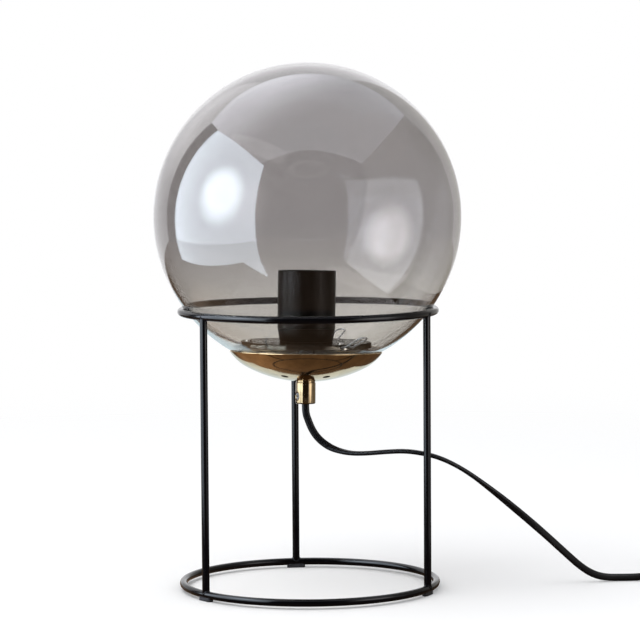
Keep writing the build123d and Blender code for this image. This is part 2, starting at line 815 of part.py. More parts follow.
with BuildPart() as switch_base:
    with BuildSketch(switch_plane):
        RectangleRounded(switch_length, switch_width, switch_corner)
    extrude(amount=switch_parting)
    with BuildSketch(switch_plane.offset(switch_wall)):
        RectangleRounded(
            switch_length - 2 * switch_wall,
            switch_width - 2 * switch_wall,
            switch_corner - switch_wall,
        )
    extrude(amount=switch_parting, mode=Mode.SUBTRACT)
    with BuildSketch(switch_plane):
        with Locations(*boss_spots):
            Circle(switch_boss_d / 2)
    extrude(amount=switch_parting)
    with BuildSketch(switch_plane):
        with Locations(*boss_spots):
            Circle(switch_screw_d / 2 + switch_screw_play)
    extrude(amount=switch_parting, mode=Mode.SUBTRACT)
    with BuildSketch(switch_plane):
        with Locations(*boss_spots):
            Circle(switch_head_d / 2 + switch_screw_play / 2)
    extrude(amount=switch_head_inset + switch_head_height, mode=Mode.SUBTRACT)
    with BuildSketch(entry_plane.offset(-half_length)):
        Circle(cord_r + cord_fit)
    extrude(amount=switch_length, mode=Mode.SUBTRACT)
write(switch_base.part, "switch_base")

with BuildPart() as switch_cover:
    with BuildSketch(switch_plane.offset(switch_parting)):
        RectangleRounded(switch_length, switch_width, switch_corner)
    extrude(amount=switch_height - switch_parting)
    fillet(switch_cover.edges().group_by(Axis.Z)[-1], 2 * switch_wall)
    with BuildSketch(switch_plane.offset(switch_parting)):
        RectangleRounded(
            switch_length - 2 * switch_wall,
            switch_width - 2 * switch_wall,
            switch_corner - switch_wall,
        )
    extrude(amount=switch_height - switch_parting - switch_wall, mode=Mode.SUBTRACT)
    with BuildSketch(switch_plane.offset(switch_parting)):
        with Locations(*boss_spots):
            Circle(switch_boss_d / 2)
    extrude(amount=switch_height - switch_parting - switch_wall)
    with BuildSketch(switch_plane.offset(switch_parting)):
        with Locations(*boss_spots):
            Circle(switch_screw_d / 2 + thread_gap)
    extrude(amount=switch_screw_grip, mode=Mode.SUBTRACT)
    with BuildSketch(switch_plane.offset(switch_height - switch_wall)):
        Rectangle(*window)
    extrude(amount=switch_wall, mode=Mode.SUBTRACT)
    ear_drop = switch_height - switch_wall - pivot_height + pivot_d / 2 + switch_wall / 2
    with BuildSketch(switch_plane.offset(switch_height - switch_wall)):
        with Locations((0, window[1] / 2 + ear_wall / 2), (0, -window[1] / 2 - ear_wall / 2)):
            Rectangle(ear_length, ear_wall)
    extrude(amount=-ear_drop)
    with BuildSketch(pivot_plane.offset(-half_width + switch_wall)):
        Circle(pivot_d / 2 + pivot_play)
    extrude(amount=2 * (half_width - switch_wall), mode=Mode.SUBTRACT)
    with BuildSketch(entry_plane.offset(-half_length)):
        Circle(cord_r + cord_fit)
    extrude(amount=switch_length, mode=Mode.SUBTRACT)
write(switch_cover.part, "switch_cover")

# Rocker, down at the end towards the lamp when it is off
rocker_plane = turned(pivot_plane, rocker_tilt)
with BuildPart() as switch_rocker:
    with BuildSketch(rocker_plane):
        with BuildLine():
            Polyline(
                (0, rocker_valley),
                (rocker_reach, rocker_crest),
                (rocker_reach, -pivot_d / 3),
                (0, -pivot_d),
                (-rocker_reach, -pivot_d / 3),
                (-rocker_reach, rocker_crest),
                close=True,
            )
        make_face()
    extrude(amount=rocker_width / 2, both=True)
    with BuildSketch(rocker_plane):
        Circle(pivot_d / 2)
    extrude(amount=rocker_width / 2 + rocker_side_gap + ear_wall, both=True)
write(switch_rocker.part, "switch_rocker")

with BuildPart() as switch_screws:
    with BuildSketch(switch_plane.offset(switch_head_inset)):
        with Locations(*boss_spots):
            Circle(switch_head_d / 2)
    extrude(amount=switch_head_height)
    with BuildSketch(switch_plane.offset(switch_head_inset)):
        with Locations(*boss_spots):
            Rectangle(switch_head_d, contact_sheet)
            Rectangle(contact_sheet, switch_head_d)
    extrude(amount=switch_head_height / 2, mode=Mode.SUBTRACT)
    with BuildSketch(switch_plane.offset(switch_head_inset + switch_head_height)):
        with Locations(*boss_spots):
            Circle(switch_screw_d / 2)
    shank = switch_parting + switch_screw_grip - switch_head_inset - switch_head_height
    extrude(amount=shank - contact_sheet)
write(switch_screws.part, "switch_screws")

# Contacts: a fixed block at each end, and a leaf from one that the rocker presses on the other
block_x, block_y, block_z = contact_block
leaf_z = switch_wall + block_z
with BuildPart() as switch_contacts:
    with BuildSketch(switch_plane.offset(switch_wall)):
        with Locations((-contact_block_at, 0), (contact_block_at, 0)):
            Rectangle(block_x, block_y)
    extrude(amount=block_z)
with BuildPart() as contact_leaf:
    with BuildSketch(Plane(origin=(switch_x, cord_y, 0), x_dir=(1, 0, 0), z_dir=(0, -1, 0))):
        with BuildLine():
            Polyline(
                (-contact_block_at - block_x / 2, leaf_z),
                (-contact_block_at + block_x / 2, leaf_z),
                (contact_block_at + block_x / 4, leaf_z + contact_sheet),
                (contact_block_at + block_x / 4, leaf_z + 2 * contact_sheet),
                (-contact_block_at + block_x / 2, leaf_z + contact_sheet),
                (-contact_block_at - block_x / 2, leaf_z + contact_sheet),
                close=True,
            )
        make_face()
    extrude(amount=block_y / 3, both=True)
write(switch_contacts.part, "switch_contacts")
write(contact_leaf.part, "contact_leaf")

# The wires in the switch: one goes to the contacts at each end, the other runs through
wire_start = half_length - switch_entry
wire_side = block_y / 2 + wire_d / 2 + contact_sheet
live_z = switch_wall + block_z / 2
with BuildPart() as switch_wires:
    for way in (-1, 1):
        with BuildLine(switch_plane) as live_run:
            FilletPolyline(
                (way * wire_start, wire_pair_at, switch_parting),
                (way * (wire_start - 4), wire_pair_at, switch_parting),
                (way * (contact_block_at + block_x / 2 + 3), wire_pair_at, live_z),
                (way * (contact_block_at + block_x / 2), wire_pair_at, live_z),
                radius=wire_bend,
            )
        live_wire = live_run.wire()
        with BuildSketch(Plane(origin=live_wire @ 0, z_dir=live_wire % 0)):
            Circle(wire_d / 2)
        sweep(path=live_wire)
    with BuildLine(switch_plane) as through_run:
        FilletPolyline(
            (-wire_start, -wire_pair_at, switch_parting),
            (-wire_start + 6, -wire_pair_at, switch_parting),
            (-contact_block_at - block_x / 2, -wire_side, live_z),
            (contact_block_at + block_x / 2, -wire_side, live_z),
            (wire_start - 6, -wire_pair_at, switch_parting),
            (wire_start, -wire_pair_at, switch_parting),
            radius=wire_bend,
        )
    through_wire = through_run.wire()
    with BuildSketch(Plane(origin=through_wire @ 0, z_dir=through_wire % 0)):
        Circle(wire_d / 2)
    sweep(path=through_wire)
write(switch_wires.part, "switch_wires")

# Flat two-pin plug, lying on its side with its pins pointing left

plug_plane = Plane(
    origin=(relief_x - relief_length, plug_y, 0), x_dir=(-1, 0, 0), z_dir=(0, 0, 1)
)
plug_face = Plane(
    origin=(relief_x - relief_length - plug_length, plug_y, plug_z),
    x_dir=(0, 1, 0),
    z_dir=(-1, 0, 0),
)
with BuildPart() as plug_pins:
    with BuildSketch(plug_face.offset(-pin_root)):
        with GridLocations(pin_pitch, 0, 2, 1):
            Circle(pin_core_d / 2)
    extrude(amount=pin_root + pin_cover_length)
    with BuildSketch(plug_face.offset(pin_cover_length)):
        with GridLocations(pin_pitch, 0, 2, 1):
            Circle(pin_d / 2)
    extrude(amount=pin_bare)
    fillet(plug_pins.edges().group_by(Axis.X)[0], pin_d / 3)
write(plug_pins.part, "plug_pins")

with BuildPart() as plug_body:
    with BuildSketch(plug_plane):
        with BuildLine():
            Polyline(
                (0, plug_neck / 2),
                (plug_shoulder, plug_width / 2),
                (plug_length, plug_width / 2),
                (plug_length, -plug_width / 2),
                (plug_shoulder, -plug_width / 2),
                (0, -plug_neck / 2),
                close=True,
            )
        make_face()
    extrude(amount=plug_height)
    fillet(plug_body.edges().filter_by(Axis.Z), plug_corner)
    chamfer(plug_body.edges().group_by(Axis.Z)[-1], plug_edge)
    chamfer(plug_body.edges().group_by(Axis.Z)[0], plug_edge)
    with BuildSketch(Plane(origin=(relief_x, plug_y, plug_z), x_dir=(0, 1, 0), z_dir=(-1, 0, 0))):
        Circle(relief_d[1] / 2)
    with BuildSketch(
        Plane(
            origin=(relief_x - relief_length - plug_edge, plug_y, plug_z),
            x_dir=(0, 1, 0),
            z_dir=(-1, 0, 0),
        )
    ):
        Circle(relief_d[0] / 2)
    loft()
    with BuildSketch(plug_face):
        with GridLocations(pin_pitch, 0, 2, 1):
            Circle(pin_cover_d / 2)
    extrude(amount=pin_cover_length)
    add(plug_pins.part, mode=Mode.SUBTRACT)
write(plug_body.part, "plug_body")
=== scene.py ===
import json
from math import asin, atan, cos, pi, radians, sin, sqrt, tau

import bmesh
import bpy
from bpy.props import FloatProperty, FloatVectorProperty, IntProperty, PointerProperty
from mathutils import Matrix, Vector


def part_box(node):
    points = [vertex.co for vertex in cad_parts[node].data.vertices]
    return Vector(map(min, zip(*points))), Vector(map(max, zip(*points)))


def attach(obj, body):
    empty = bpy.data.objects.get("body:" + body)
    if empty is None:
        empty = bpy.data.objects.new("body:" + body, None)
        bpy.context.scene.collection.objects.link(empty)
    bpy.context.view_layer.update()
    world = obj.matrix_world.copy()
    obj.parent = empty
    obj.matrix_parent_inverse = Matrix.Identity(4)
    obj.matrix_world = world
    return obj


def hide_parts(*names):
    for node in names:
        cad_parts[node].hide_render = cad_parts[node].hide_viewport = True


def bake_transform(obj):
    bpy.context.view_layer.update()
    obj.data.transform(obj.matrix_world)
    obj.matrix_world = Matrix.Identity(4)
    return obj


bl_info = {
    "name": "Glass globe table lamp",
    "version": (1, 0, 0),
    "blender": (4, 5, 0),
    "location": "3D View > Sidebar > Lamp",
    "description": "Dresses the frame of a table lamp with a leaning glass globe",
    "category": "Object",
}

# The frame is in metres, +Z up, with its origin on the table under the stand's centre
# and its front towards -Y.
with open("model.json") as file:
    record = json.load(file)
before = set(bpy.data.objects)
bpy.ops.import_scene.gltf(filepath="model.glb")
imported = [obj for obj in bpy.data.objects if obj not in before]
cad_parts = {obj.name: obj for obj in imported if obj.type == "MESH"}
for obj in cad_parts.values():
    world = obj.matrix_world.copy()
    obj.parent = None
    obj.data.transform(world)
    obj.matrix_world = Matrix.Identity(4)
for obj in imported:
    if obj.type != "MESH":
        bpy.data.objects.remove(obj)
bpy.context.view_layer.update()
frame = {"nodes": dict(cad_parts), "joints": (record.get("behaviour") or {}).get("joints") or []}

MM = 0.001
UP = Vector((0, 0, 1))

CREASE = radians(38)  # edges of a new mesh that turn by more than this stay sharp
NODE_CREASE = radians(32)  # the same for the frame's own nodes
NOISE_SPAN = (0.35, 0.65)  # where most values of a noise texture lie
PATCH = 14  # grains across a patch of duller or brighter finish
BLOTCH = 20  # grains across a blotch of darker or lighter tone on the small pieces


def linear(code):
    """Linear red, green, blue and alpha of an sRGB colour written as #rrggbb."""
    shares = [int(code[place : place + 2], 16) / 255 for place in (1, 3, 5)]
    return [((s + 0.055) / 1.055) ** 2.4 if s > 0.04045 else s / 12.92 for s in shares] + [1.0]


def length(name, description, millimetres):
    """A size that a user can change."""
    return FloatProperty(
        name=name,
        description=description,
        default=millimetres * MM,
        min=0.0,
        unit="LENGTH",
        subtype="DISTANCE",
    )


def colour(name, description, code):
    """A colour that a user can change."""
    return FloatVectorProperty(
        name=name,
        description=description,
        default=linear(code),
        size=4,
        min=0.0,
        max=1.0,
        subtype="COLOR",
    )


class LampSizes(bpy.types.PropertyGroup):
    """Sizes of the details that the frame leaves plain."""

    cord_width: length("Cord width", "Broad side of the flat twin cord", 6.0)
    cord_thickness: length("Cord thickness", "Narrow side of the flat twin cord", 3.6)
    weld_bead: length("Weld bead", "Breadth of the weld round each end of a leg", 1.5)
    glass_edge: length("Glass edge", "Rounding of the fire-polished neck", 1.2)
    thread_pitch: length("Thread pitch", "Pitch of the rolled thread in the socket", 3.62)
    thread_depth: length("Thread depth", "Depth of the rolled thread in the socket", 0.65)
    relief_ribs: IntProperty(
        name="Relief ribs",
        description="Ribs on the plug's strain relief",
        default=6,
        min=0,
        max=12,
    )


class LampColours(bpy.types.PropertyGroup):
    """Colours of the lamp's finishes and of the table under it."""

    coat: colour("Coat", "Black paint on the stand", "#040407")
    glass: colour("Glass", "Smoke tint of the globe's body", "#c2bfbf")
    neck_glass: colour("Neck glass", "Paler tint towards the globe's neck", "#dfddd8")
    brass: colour("Brass", "Aged brass of the dish and the cord grip", "#dcc196")
    sleeve: colour("Sleeve", "Moulded resin of the lamp holder", "#080606")
    cord: colour("Cord", "Sheath of the cord", "#050508")
    table: colour("Table", "Pale table top", "#f6f6f6")


# Materials


def add(tree, kind, inputs=None, **settings):
    """A shader node with its settings, and a value or a link for each input named."""
    node = tree.nodes.new("ShaderNode" + kind)
    for name, value in settings.items():
        setattr(node, name, value)
    for name, value in (inputs or {}).items():
        if isinstance(value, bpy.types.NodeSocket):
            tree.links.new(value, node.inputs[name])
        else:
            node.inputs[name].default_value = value
    return node


def per(millimetres):
    """The noise scale at which one blotch is this big."""
    return 1 / (millimetres * MM)


def surface(name, constants, grain, depth, roughness, place=None):
    """A material with a fine grain and its depth in millimetres, and its range of roughness.

    The place is a function that gives the grain other coordinates than the object's own.
    """
    material = bpy.data.materials.new(name)
    material.use_nodes = True
    tree = material.node_tree
    shader = tree.nodes["Principled BSDF"]
    for socket, value in constants.items():
        shader.inputs[socket].default_value = value
    place = place(tree) if place else add(tree, "TexCoord").outputs["Object"]
    noise = {"Vector": place, "Scale": per(grain), "Detail": 3.0, "Roughness": 0.55}
    fine = add(tree, "TexNoise", noise).outputs["Fac"]
    bump = add(tree, "Bump", {"Height": fine, "Distance": depth * MM, "Strength": 1.0})
    tree.links.new(bump.outputs["Normal"], shader.inputs["Normal"])
    noise = {"Vector": place, "Scale": per(grain * PATCH), "Detail": 4.0}
    patches = {
        "Value": add(tree, "TexNoise", noise).outputs["Fac"],
        "From Min": NOISE_SPAN[0],
        "From Max": NOISE_SPAN[1],
        "To Min": roughness[0],
        "To Max": roughness[1],
    }
    wear = add(tree, "MapRange", patches)
    tree.links.new(wear.outputs["Result"], shader.inputs["Roughness"])
    return material


def tinted(material, dark, light, blotch):
    """Lets a material's colour drift between two tones over blotches in millimetres."""
    tree = material.node_tree
    shader = tree.nodes["Principled BSDF"]
    place = add(tree, "TexCoord").outputs["Object"]
    drift = add(tree, "TexNoise", {"Vector": place, "Scale": per(blotch), "Detail": 5.0})
    ramp = add(tree, "ValToRGB", {"Fac": drift.outputs["Fac"]})
    for element, where, tone in zip(ramp.color_ramp.elements, NOISE_SPAN, (dark, light)):
        element.position = where
        element.color = tone
    tree.links.new(ramp.outputs["Color"], shader.inputs["Base Color"])
    return material


def shade(tone, share):
    """The same tone, darker or lighter by a share."""
    return [min(1.0, channel * share) for channel in tone[:3]] + [1.0]


def rings_of(millimetres):
    """Place on a turned piece, drawn out round the axis so that its grain becomes lines."""

    def place(tree):
        laid_out = add(tree, "UVMap", uv_map="around_along").outputs["UV"]
        one_turn = 0.04 * MM * per(millimetres)
        scale = (one_turn, 1.0, 1.0)
        return add(tree, "Mapping", {"Vector": laid_out, "Scale": scale}).outputs[0]

    return place


def powder_coat():
    """Powder-coated steel bar: the faint orange peel breaks up its long highlights."""
    tone = bpy.context.scene.lamp_colours.coat
    constants = {"Specular IOR Level": 0.24}
    material = surface("powder_coated_steel", constants, 0.9, 0.003, (0.13, 0.19))
    return tinted(material, shade(tone, 0.85), shade(tone, 1.2), 22)


SMOKE_CLIMB = 110  # millimetres from the neck up to the full tint


def blown_glass():
    """Lightly smoked blown glass: a slow wave in its wall bends what shows through it."""
    tones = bpy.context.scene.lamp_colours
    constants = {"Transmission Weight": 1.0, "IOR": 1.5}
    material = surface("smoked_blown_glass", constants, 60.0, 0.05, (0.0, 0.008))
    tree = material.node_tree
    shader = tree.nodes["Principled BSDF"]
    output = tree.nodes["Material Output"]
    low = on_axis(NECK_H).z
    place = add(tree, "SeparateXYZ", {0: add(tree, "TexCoord").outputs["Object"]})
    climb = {"Value": place.outputs["Z"], "From Min": low, "From Max": low + SMOKE_CLIMB * MM}
    height = add(tree, "MapRange", climb, interpolation_type="SMOOTHSTEP")
    smoke = add(tree, "ValToRGB", {"Fac": height.outputs["Result"]})
    for element, tone in zip(smoke.color_ramp.elements, (tones.neck_glass, tones.glass)):
        element.color = tone
    tree.links.new(smoke.outputs["Color"], shader.inputs["Base Color"])
    casting = add(tree, "LightPath").outputs["Is Shadow Ray"]
    clear = add(tree, "BsdfTransparent", {"Color": smoke.outputs["Color"]})
    mixed = add(tree, "MixShader", {0: casting, 1: shader.outputs[0], 2: clear.outputs[0]})
    tree.links.new(mixed.outputs[0], output.inputs["Surface"])
    return material


def spun_brass():
    """Brass spun on a lathe and polished: hairlines run round it, and it has darkened a little."""
    tone = bpy.context.scene.lamp_colours.brass
    constants, lines = {"Metallic": 1.0}, rings_of(0.5)
    material = surface("spun_aged_brass", constants, 0.5, 0.0006, (0.07, 0.12), lines)
    return tinted(material, shade(tone, 0.8), shade(tone, 1.06), 9)


def shaded_dish_inside():
    """Inside of the dish below the rim band: the brass darkened nearly to black and dulled,
    painted shade so that the vents look black.
    """
    # Painted shade: the brass tone cut to a small share, standing in for the shade inside the
    # dish.
    tone = shade(bpy.context.scene.lamp_colours.brass, 0.06)
    material = surface("dish_inside_painted_shade", {"Metallic": 0.6}, 0.6, 0.004, (0.5, 0.65))
    return tinted(material, shade(tone, 0.8), shade(tone, 1.2), 8)


def darkened_turned_brass():
    """Brass turned from bar and finely lined by the tool, darker than the dish as painted shade.
    """
    tone = bpy.context.scene.lamp_colours.brass
    constants, lines = {"Metallic": 1.0}, rings_of(0.25)
    material = surface("turned_brass_painted_shade", constants, 0.25, 0.0006, (0.08, 0.13), lines)
    # Painted shade: the grip's brass at well under half the dish's tone, so the bright softbox it
    # mirrors doesn't glare.
    return tinted(material, shade(tone, 0.33), shade(tone, 0.41), 5)


def holder_resin():
    """Compression-moulded resin: a satin near-black brown with soft, broad highlights."""
    tone = bpy.context.scene.lamp_colours.sleeve
    constants = {"Specular IOR Level": 0.22}
    material = surface("moulded_brown_resin", constants, 0.9, 0.0006, (0.36, 0.4))
    return tinted(material, shade(tone, 0.93), shade(tone, 1.08), 45)


def cord_sheath():
    """Extruded soft sheath: matt-satin black with faint draw marks."""
    tone = bpy.context.scene.lamp_colours.cord
    constants = {"Specular IOR Level": 0.3}
    material = surface("extruded_soft_sheath", constants, 0.5, 0.004, (0.36, 0.46))
    return tinted(material, shade(tone, 0.85), shade(tone, 1.25), 15)


# Plain finishes of the small pieces by the record's slots: name, dark and light tone, how
# metallic, how rough, and the grain and its depth in millimetres.
SMALL_FINISHES = {
    "pad_rubber": ("moulded_pad_rubber", "#17171a", "#232327", 0.0, (0.6, 0.75), 0.4, 0.01),
    "clear_silicone": ("clear_silicone_ring", "#c9ccce", "#dde0e2", 0.0, (0.3, 0.42), 0.6, 0.004),
    "zinc_steel": ("zinc_plated_steel", "#a9adb2", "#c6c9cd", 1.0, (0.14, 0.24), 0.3, 0.0012),
    "nickel_plate": ("nickel_plated_brass", "#b4b2ab", "#c6c4bd", 1.0, (0.03, 0.07), 0.3, 0.0003),
    "spring_steel": ("drawn_spring_steel", "#dcdfe4", "#eceff3", 0.4, (0.24, 0.32), 0.2, 0.001),
    "white_ceramic": ("glazed_ceramic", "#dedbd2", "#ece9e1", 0.0, (0.16, 0.26), 0.8, 0.006),
    "spring_brass": ("rolled_spring_brass", "#b58d4c", "#c9a364", 1.0, (0.2, 0.3), 0.3, 0.0015),
    "wire_insulation": ("extruded_insulation", "#6d4a30", "#7c5638", 0.0, (0.4, 0.5), 0.3, 0.003),
    "switch_plastic": (
        "moulded_switch_plastic",
        "#121214",
        "#1b1b1e",
        0.0,
        (0.36, 0.5),
        0.35,
        0.006,
    ),
    "black_plug": ("moulded_soft_plug", "#101012", "#18181b", 0.0, (0.4, 0.55), 0.45, 0.008),
}


def small_finish(slot):
    """The material of one of the record's slots, for small pieces."""
    name, dark, light, metallic, roughness, grain, depth = SMALL_FINISHES[slot]
    material = bpy.data.materials.get(name)
    if material is None:
        material = surface(name, {"Metallic": metallic}, grain, depth, roughness)
        tinted(material, linear(dark), linear(light), grain * BLOTCH)
    return material


BEAD_PITCH = 5.4
BEAD_DEPTH = 0.12
BEADS_LOW = 58  # how far below the cup's top the beads have their centre


def streaked_plated_cup():
    """Drawn and plated cup with shallow round beads in its bump; its base colour is painted in
    dark and pale bands with the beads, painted reflection streaks, on tones kept dark as painted
    shade.
    """
    # The dark specular tint dims the cup's mirror: painted shade.
    constants = {"Metallic": 1.0, "Specular Tint": linear("#4a4845")}
    material = surface("plated_cup_painted_streaks", constants, 0.3, 0.0003, (0.1, 0.16))
    tree = material.node_tree
    shader = tree.nodes["Principled BSDF"]
    ends = {0: add(tree, "TexCoord").outputs["Object"], 1: on_axis(CUP_TOP - BEADS_LOW)}
    away = add(tree, "VectorMath", ends, operation="DISTANCE").outputs["Value"]
    waves = {0: away, 1: tau / (BEAD_PITCH * MM)}
    turns = add(tree, "Math", waves, operation="MULTIPLY").outputs[0]
    beads = add(tree, "Math", {0: turns}, operation="SINE").outputs[0]
    bump = add(tree, "Bump", {"Height": beads, "Distance": BEAD_DEPTH * MM, "Strength": 1.0})
    tree.links.new(bump.outputs["Normal"], shader.inputs["Normal"])
    # Dark and pale bands in the base colour, in step with the beads: painted reflection streaks,
    # dark overall as painted shade.
    ramp = add(tree, "ValToRGB", {"Fac": beads})
    tones = ((0.0, "#121110"), (0.7, "#5c5a55"))
    for element, (where, tone) in zip(ramp.color_ramp.elements, tones):
        element.position = where
        element.color = linear(tone)
    tree.links.new(ramp.outputs["Color"], shader.inputs["Base Color"])
    return material


# Shapes


def globe_frame():
    """The leaning frame of the globe: its centre, with Z up along its axis."""
    (left, front, low), (right, back, top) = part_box("glass_globe")
    radius = (right - left) / 2
    ways = {joint["name"]: Vector(joint["axis"]) for joint in frame["joints"]}
    up = ways["glass_off"].normalized()
    across = Vector((up.z, 0, -up.x)).normalized()
    behind = up.cross(across)
    place = Matrix((across, behind, up)).transposed().to_4x4()
    place.translation = ((left + right) / 2, (front + back) / 2, top - radius)
    return place


unit = globe_frame()


def on_axis(height):
    """Point on the globe's axis, at a height in millimetres from its centre."""
    return unit @ Vector((0, 0, height * MM))


EASING_SHARE = 0.45  # the most of an edge that the easing of one corner takes


def eased(corners, steps=5):
    """A closed section from corners of (radius, height, easing) in millimetres."""
    section = []
    for place, (radius, height, easing) in enumerate(corners):
        corner = Vector((radius, height))
        if not easing:
            section.append(corner)
            continue
        before = Vector(corners[place - 1][:2]) - corner
        after = Vector(corners[(place + 1) % len(corners)][:2]) - corner
        start = corner + before.normalized() * min(easing, before.length * EASING_SHARE)
        end = corner + after.normalized() * min(easing, after.length * EASING_SHARE)
        for step in range(steps + 1):
            t = step / steps
            section.append(start * (1 - t) ** 2 + corner * 2 * t * (1 - t) + end * t**2)
    return section


def arc(centre, radius, start, end, steps):
    """Points of an arc, as section corners that aren't eased."""
    angles = [radians(start + (end - start) * step / steps) for step in range(steps + 1)]
    return [(centre[0] + radius * cos(a), centre[1] + radius * sin(a), 0) for a in angles]


def skin(name, rings, closed, laid=None):
    """A mesh over rings of points in metres, where a ring of one point is a pole.

    Closed joins the last ring to the first. Laid is each ring's way along the section.
    """
    shape = bmesh.new()
    laid = laid or [0.0] * (len(rings) + 1)
    layer = shape.loops.layers.uv.new("around_along")
    rows = [[shape.verts.new(point) for point in ring] for ring in rings]
    spans = list(zip(range(len(rows)), range(1, len(rows))))
    if closed:
        spans.append((len(rows) - 1, 0))
    for number, (this, other) in enumerate(spans):
        near, far = rows[this], rows[other]
        count = max(len(near), len(far))
        for step in range(count):
            places = [(near, step, 0), (near, step + 1, 0), (far, step + 1, 1), (far, step, 1)]
            corners, ways = [], []
            for row, at, side in places:
                corner = row[at % len(row)]
                if corner not in corners:
                    corners.append(corner)
                    ways.append((at / count, laid[number + side]))
            if len(corners) > 2:
                face = shape.faces.new(corners)
                for loop, way in zip(face.loops, ways):
                    loop[layer].uv = way
    if not closed:
        for row in (rows[0], rows[-1]):
            if len(row) > 2:
                shape.faces.new(row)
    bmesh.ops.recalc_face_normals(shape, faces=shape.faces)
    mesh = bpy.data.meshes.new(name)
    shape.to_mesh(mesh)
    shape.free()
    mesh.shade_smooth()
    mesh.set_sharp_from_angle(angle=CREASE)
    piece = bpy.data.objects.new(name, mesh)
    bpy.context.scene.collection.objects.link(piece)
    return piece


def turned(name, section, body, nodes, material, turns=160):
    """A piece turned about the globe's axis, which stands for these nodes of the frame."""
    rings, laid, along = [], [0.0], 0.0
    for place, (radius, height) in enumerate(section):
        count = turns if radius > 0.001 else 1
        angles = [tau * step / turns + pi / 2 for step in range(count)]
        rings.append(
            [unit @ (Vector((radius * cos(a), radius * sin(a), height)) * MM) for a in angles]
        )
        along += (section[(place + 1) % len(section)] - section[place]).length * MM
        laid.append(along)
    piece = skin(name, rings, True, laid)
    return placed(piece, body, nodes, material)


def placed(piece, body, nodes, material):
    """Gives a piece its material, its body and the nodes of the frame that it stands for."""
    piece.data.materials.append(material)
    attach(piece, body)
    if nodes:
        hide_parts(*nodes)
    return piece


def drilled(piece, cutters):
    """Cuts closed meshes out of a piece and removes them."""
    for cutter in cutters:
        cut = piece.modifiers.new("drilled", "BOOLEAN")
        cut.operation = "DIFFERENCE"
        cut.solver = "EXACT"
        cut.object = cutter
        with bpy.context.temp_override(object=piece, active_object=piece):
            bpy.ops.object.modifier_apply(modifier=cut.name)
        bpy.data.objects.remove(cutter, do_unlink=True)
    piece.data.set_sharp_from_angle(angle=CREASE)


def cone(name, foot, way, stops, turns=48):
    """A closed round solid along a way, from stops of (distance, radius) in metres."""
    turn = way.to_track_quat("Z", "Y").to_matrix()
    angles = [tau * step / turns for step in range(turns)]
    rings = [
        [foot + turn @ Vector((radius * cos(a), radius * sin(a), distance)) for a in angles]
        for distance, radius in stops
    ]
    return skin(name, rings, False)


def carried(name, path, outline, ways):
    """An outline of (across, up) points in metres carried along a path, broad side along ways."""
    rings = []
    for place, (point, way) in enumerate(zip(path, ways)):
        before = path[max(place - 1, 0)]
        after = path[min(place + 1, len(path) - 1)]
        heading = (after - before).normalized()
        broad = (way - heading * way.dot(heading)).normalized()
        narrow = heading.cross(broad)
        rings.append([point + broad * a + narrow * b for a, b in outline])
    return skin(name, rings, False)


def dress(material, *names):
    """Gives nodes of the frame their material, shaded smooth between their real edges."""
    for name in names:
        node = frame["nodes"][name]
        node.data.materials.clear()
        node.data.materials.append(material)
        node.data.shade_smooth()
        node.data.set_sharp_from_angle(angle=NODE_CREASE)


# The cord


# The route in millimetres, as the part's source lays it, with a coil of two layers.
COIL_CENTRE = Vector((405.0, 22.0, 0.0))
COIL_START_R = 42.0
COIL_TURNS = 3
COIL_PITCH = 6.7
COIL_LAYER = 6.55
REST_Z = 3.05
GRIP_H = -151.69
CORD_STEPS = 8

HANGING = (
    (-0.4, -7.2, 138.0),
    (2.4, -7.6, 131.0),
    (6.6, -8.3, 124.6),
    (12.8, -9.4, 119.0),
    (21.0, -11.3, 114.6),
    (33.6, -15.3, 111.9),
    (47.0, -19.5, 112.4),
    (63.0, -23.6, 114.2),
    (78.0, -27.6, 115.2),
    (91.4, -31.0, 113.7),
    (104.3, -30.5, 110.3),
    (117.3, -28.3, 104.1),
    (131.0, -26.1, 95.5),
    (150.0, -22.8, 80.7),
    (169.8, -14.7, 63.6),
    (190.0, -4.9, 45.2),
    (208.0, 3.8, 27.8),
    (222.0, 10.4, 14.4),
    (233.0, 15.6, 6.8),
    (244.0, 19.2, 3.4),
    (257.0, 21.3, 3.05),
    (270.0, 21.9, 3.05),
    (281.0, 22.0, 4.4),
    (289.0, 22.0, 7.0),
    (297.0, 22.0, 9.0),
    (305.0, 22.0, 9.0),
)
PAST_THE_SWITCH = (
    (357.0, 22.0, 9.0),
    (365.0, 22.0, 9.0),
    (375.5, 22.0, 6.3),
    (387.0, 22.0, 3.05),
)
TO_THE_PLUG = (
    (383.5, 107.0, 8.4),
    (374.0, 107.0, 6.85),
    (366.0, 107.0, 6.85),
)


def coil_route(steps=24):
    """The coil's points in millimetres: in on the table, round, and out on top of itself."""
    drift = COIL_PITCH / tau
    skew = atan(drift / COIL_START_R)
    centre = COIL_CENTRE + Vector((0, COIL_START_R * cos(skew), 0))
    inner_r = COIL_START_R - COIL_PITCH * COIL_TURNS
    spiral = tau * COIL_TURNS
    points = []
    for step in range(int(steps * (2 * COIL_TURNS + 0.5)) + 1):
        angle = tau * step / steps
        past = angle - spiral
        if past < 0:
            radius, height = COIL_START_R - drift * angle, REST_Z
        elif past < pi:
            share = past / pi
            radius = inner_r - drift * (past - past**2 / pi)
            height = REST_Z + COIL_LAYER * share**2 * (3 - 2 * share)
        else:
            radius, height = inner_r + drift * (past - pi), REST_Z + COIL_LAYER
        way = angle - pi / 2 - skew
        points.append(centre + Vector((cos(way) * radius, sin(way) * radius, height)))
    run_in = (points[1] - points[0]).normalized()
    run_out = (points[-1] - points[-2]).normalized()
    leaving = [points[-1] + run_out * 6, points[-1] + run_out * 14]
    return [points[0] - run_in * 6, *points, *leaving]


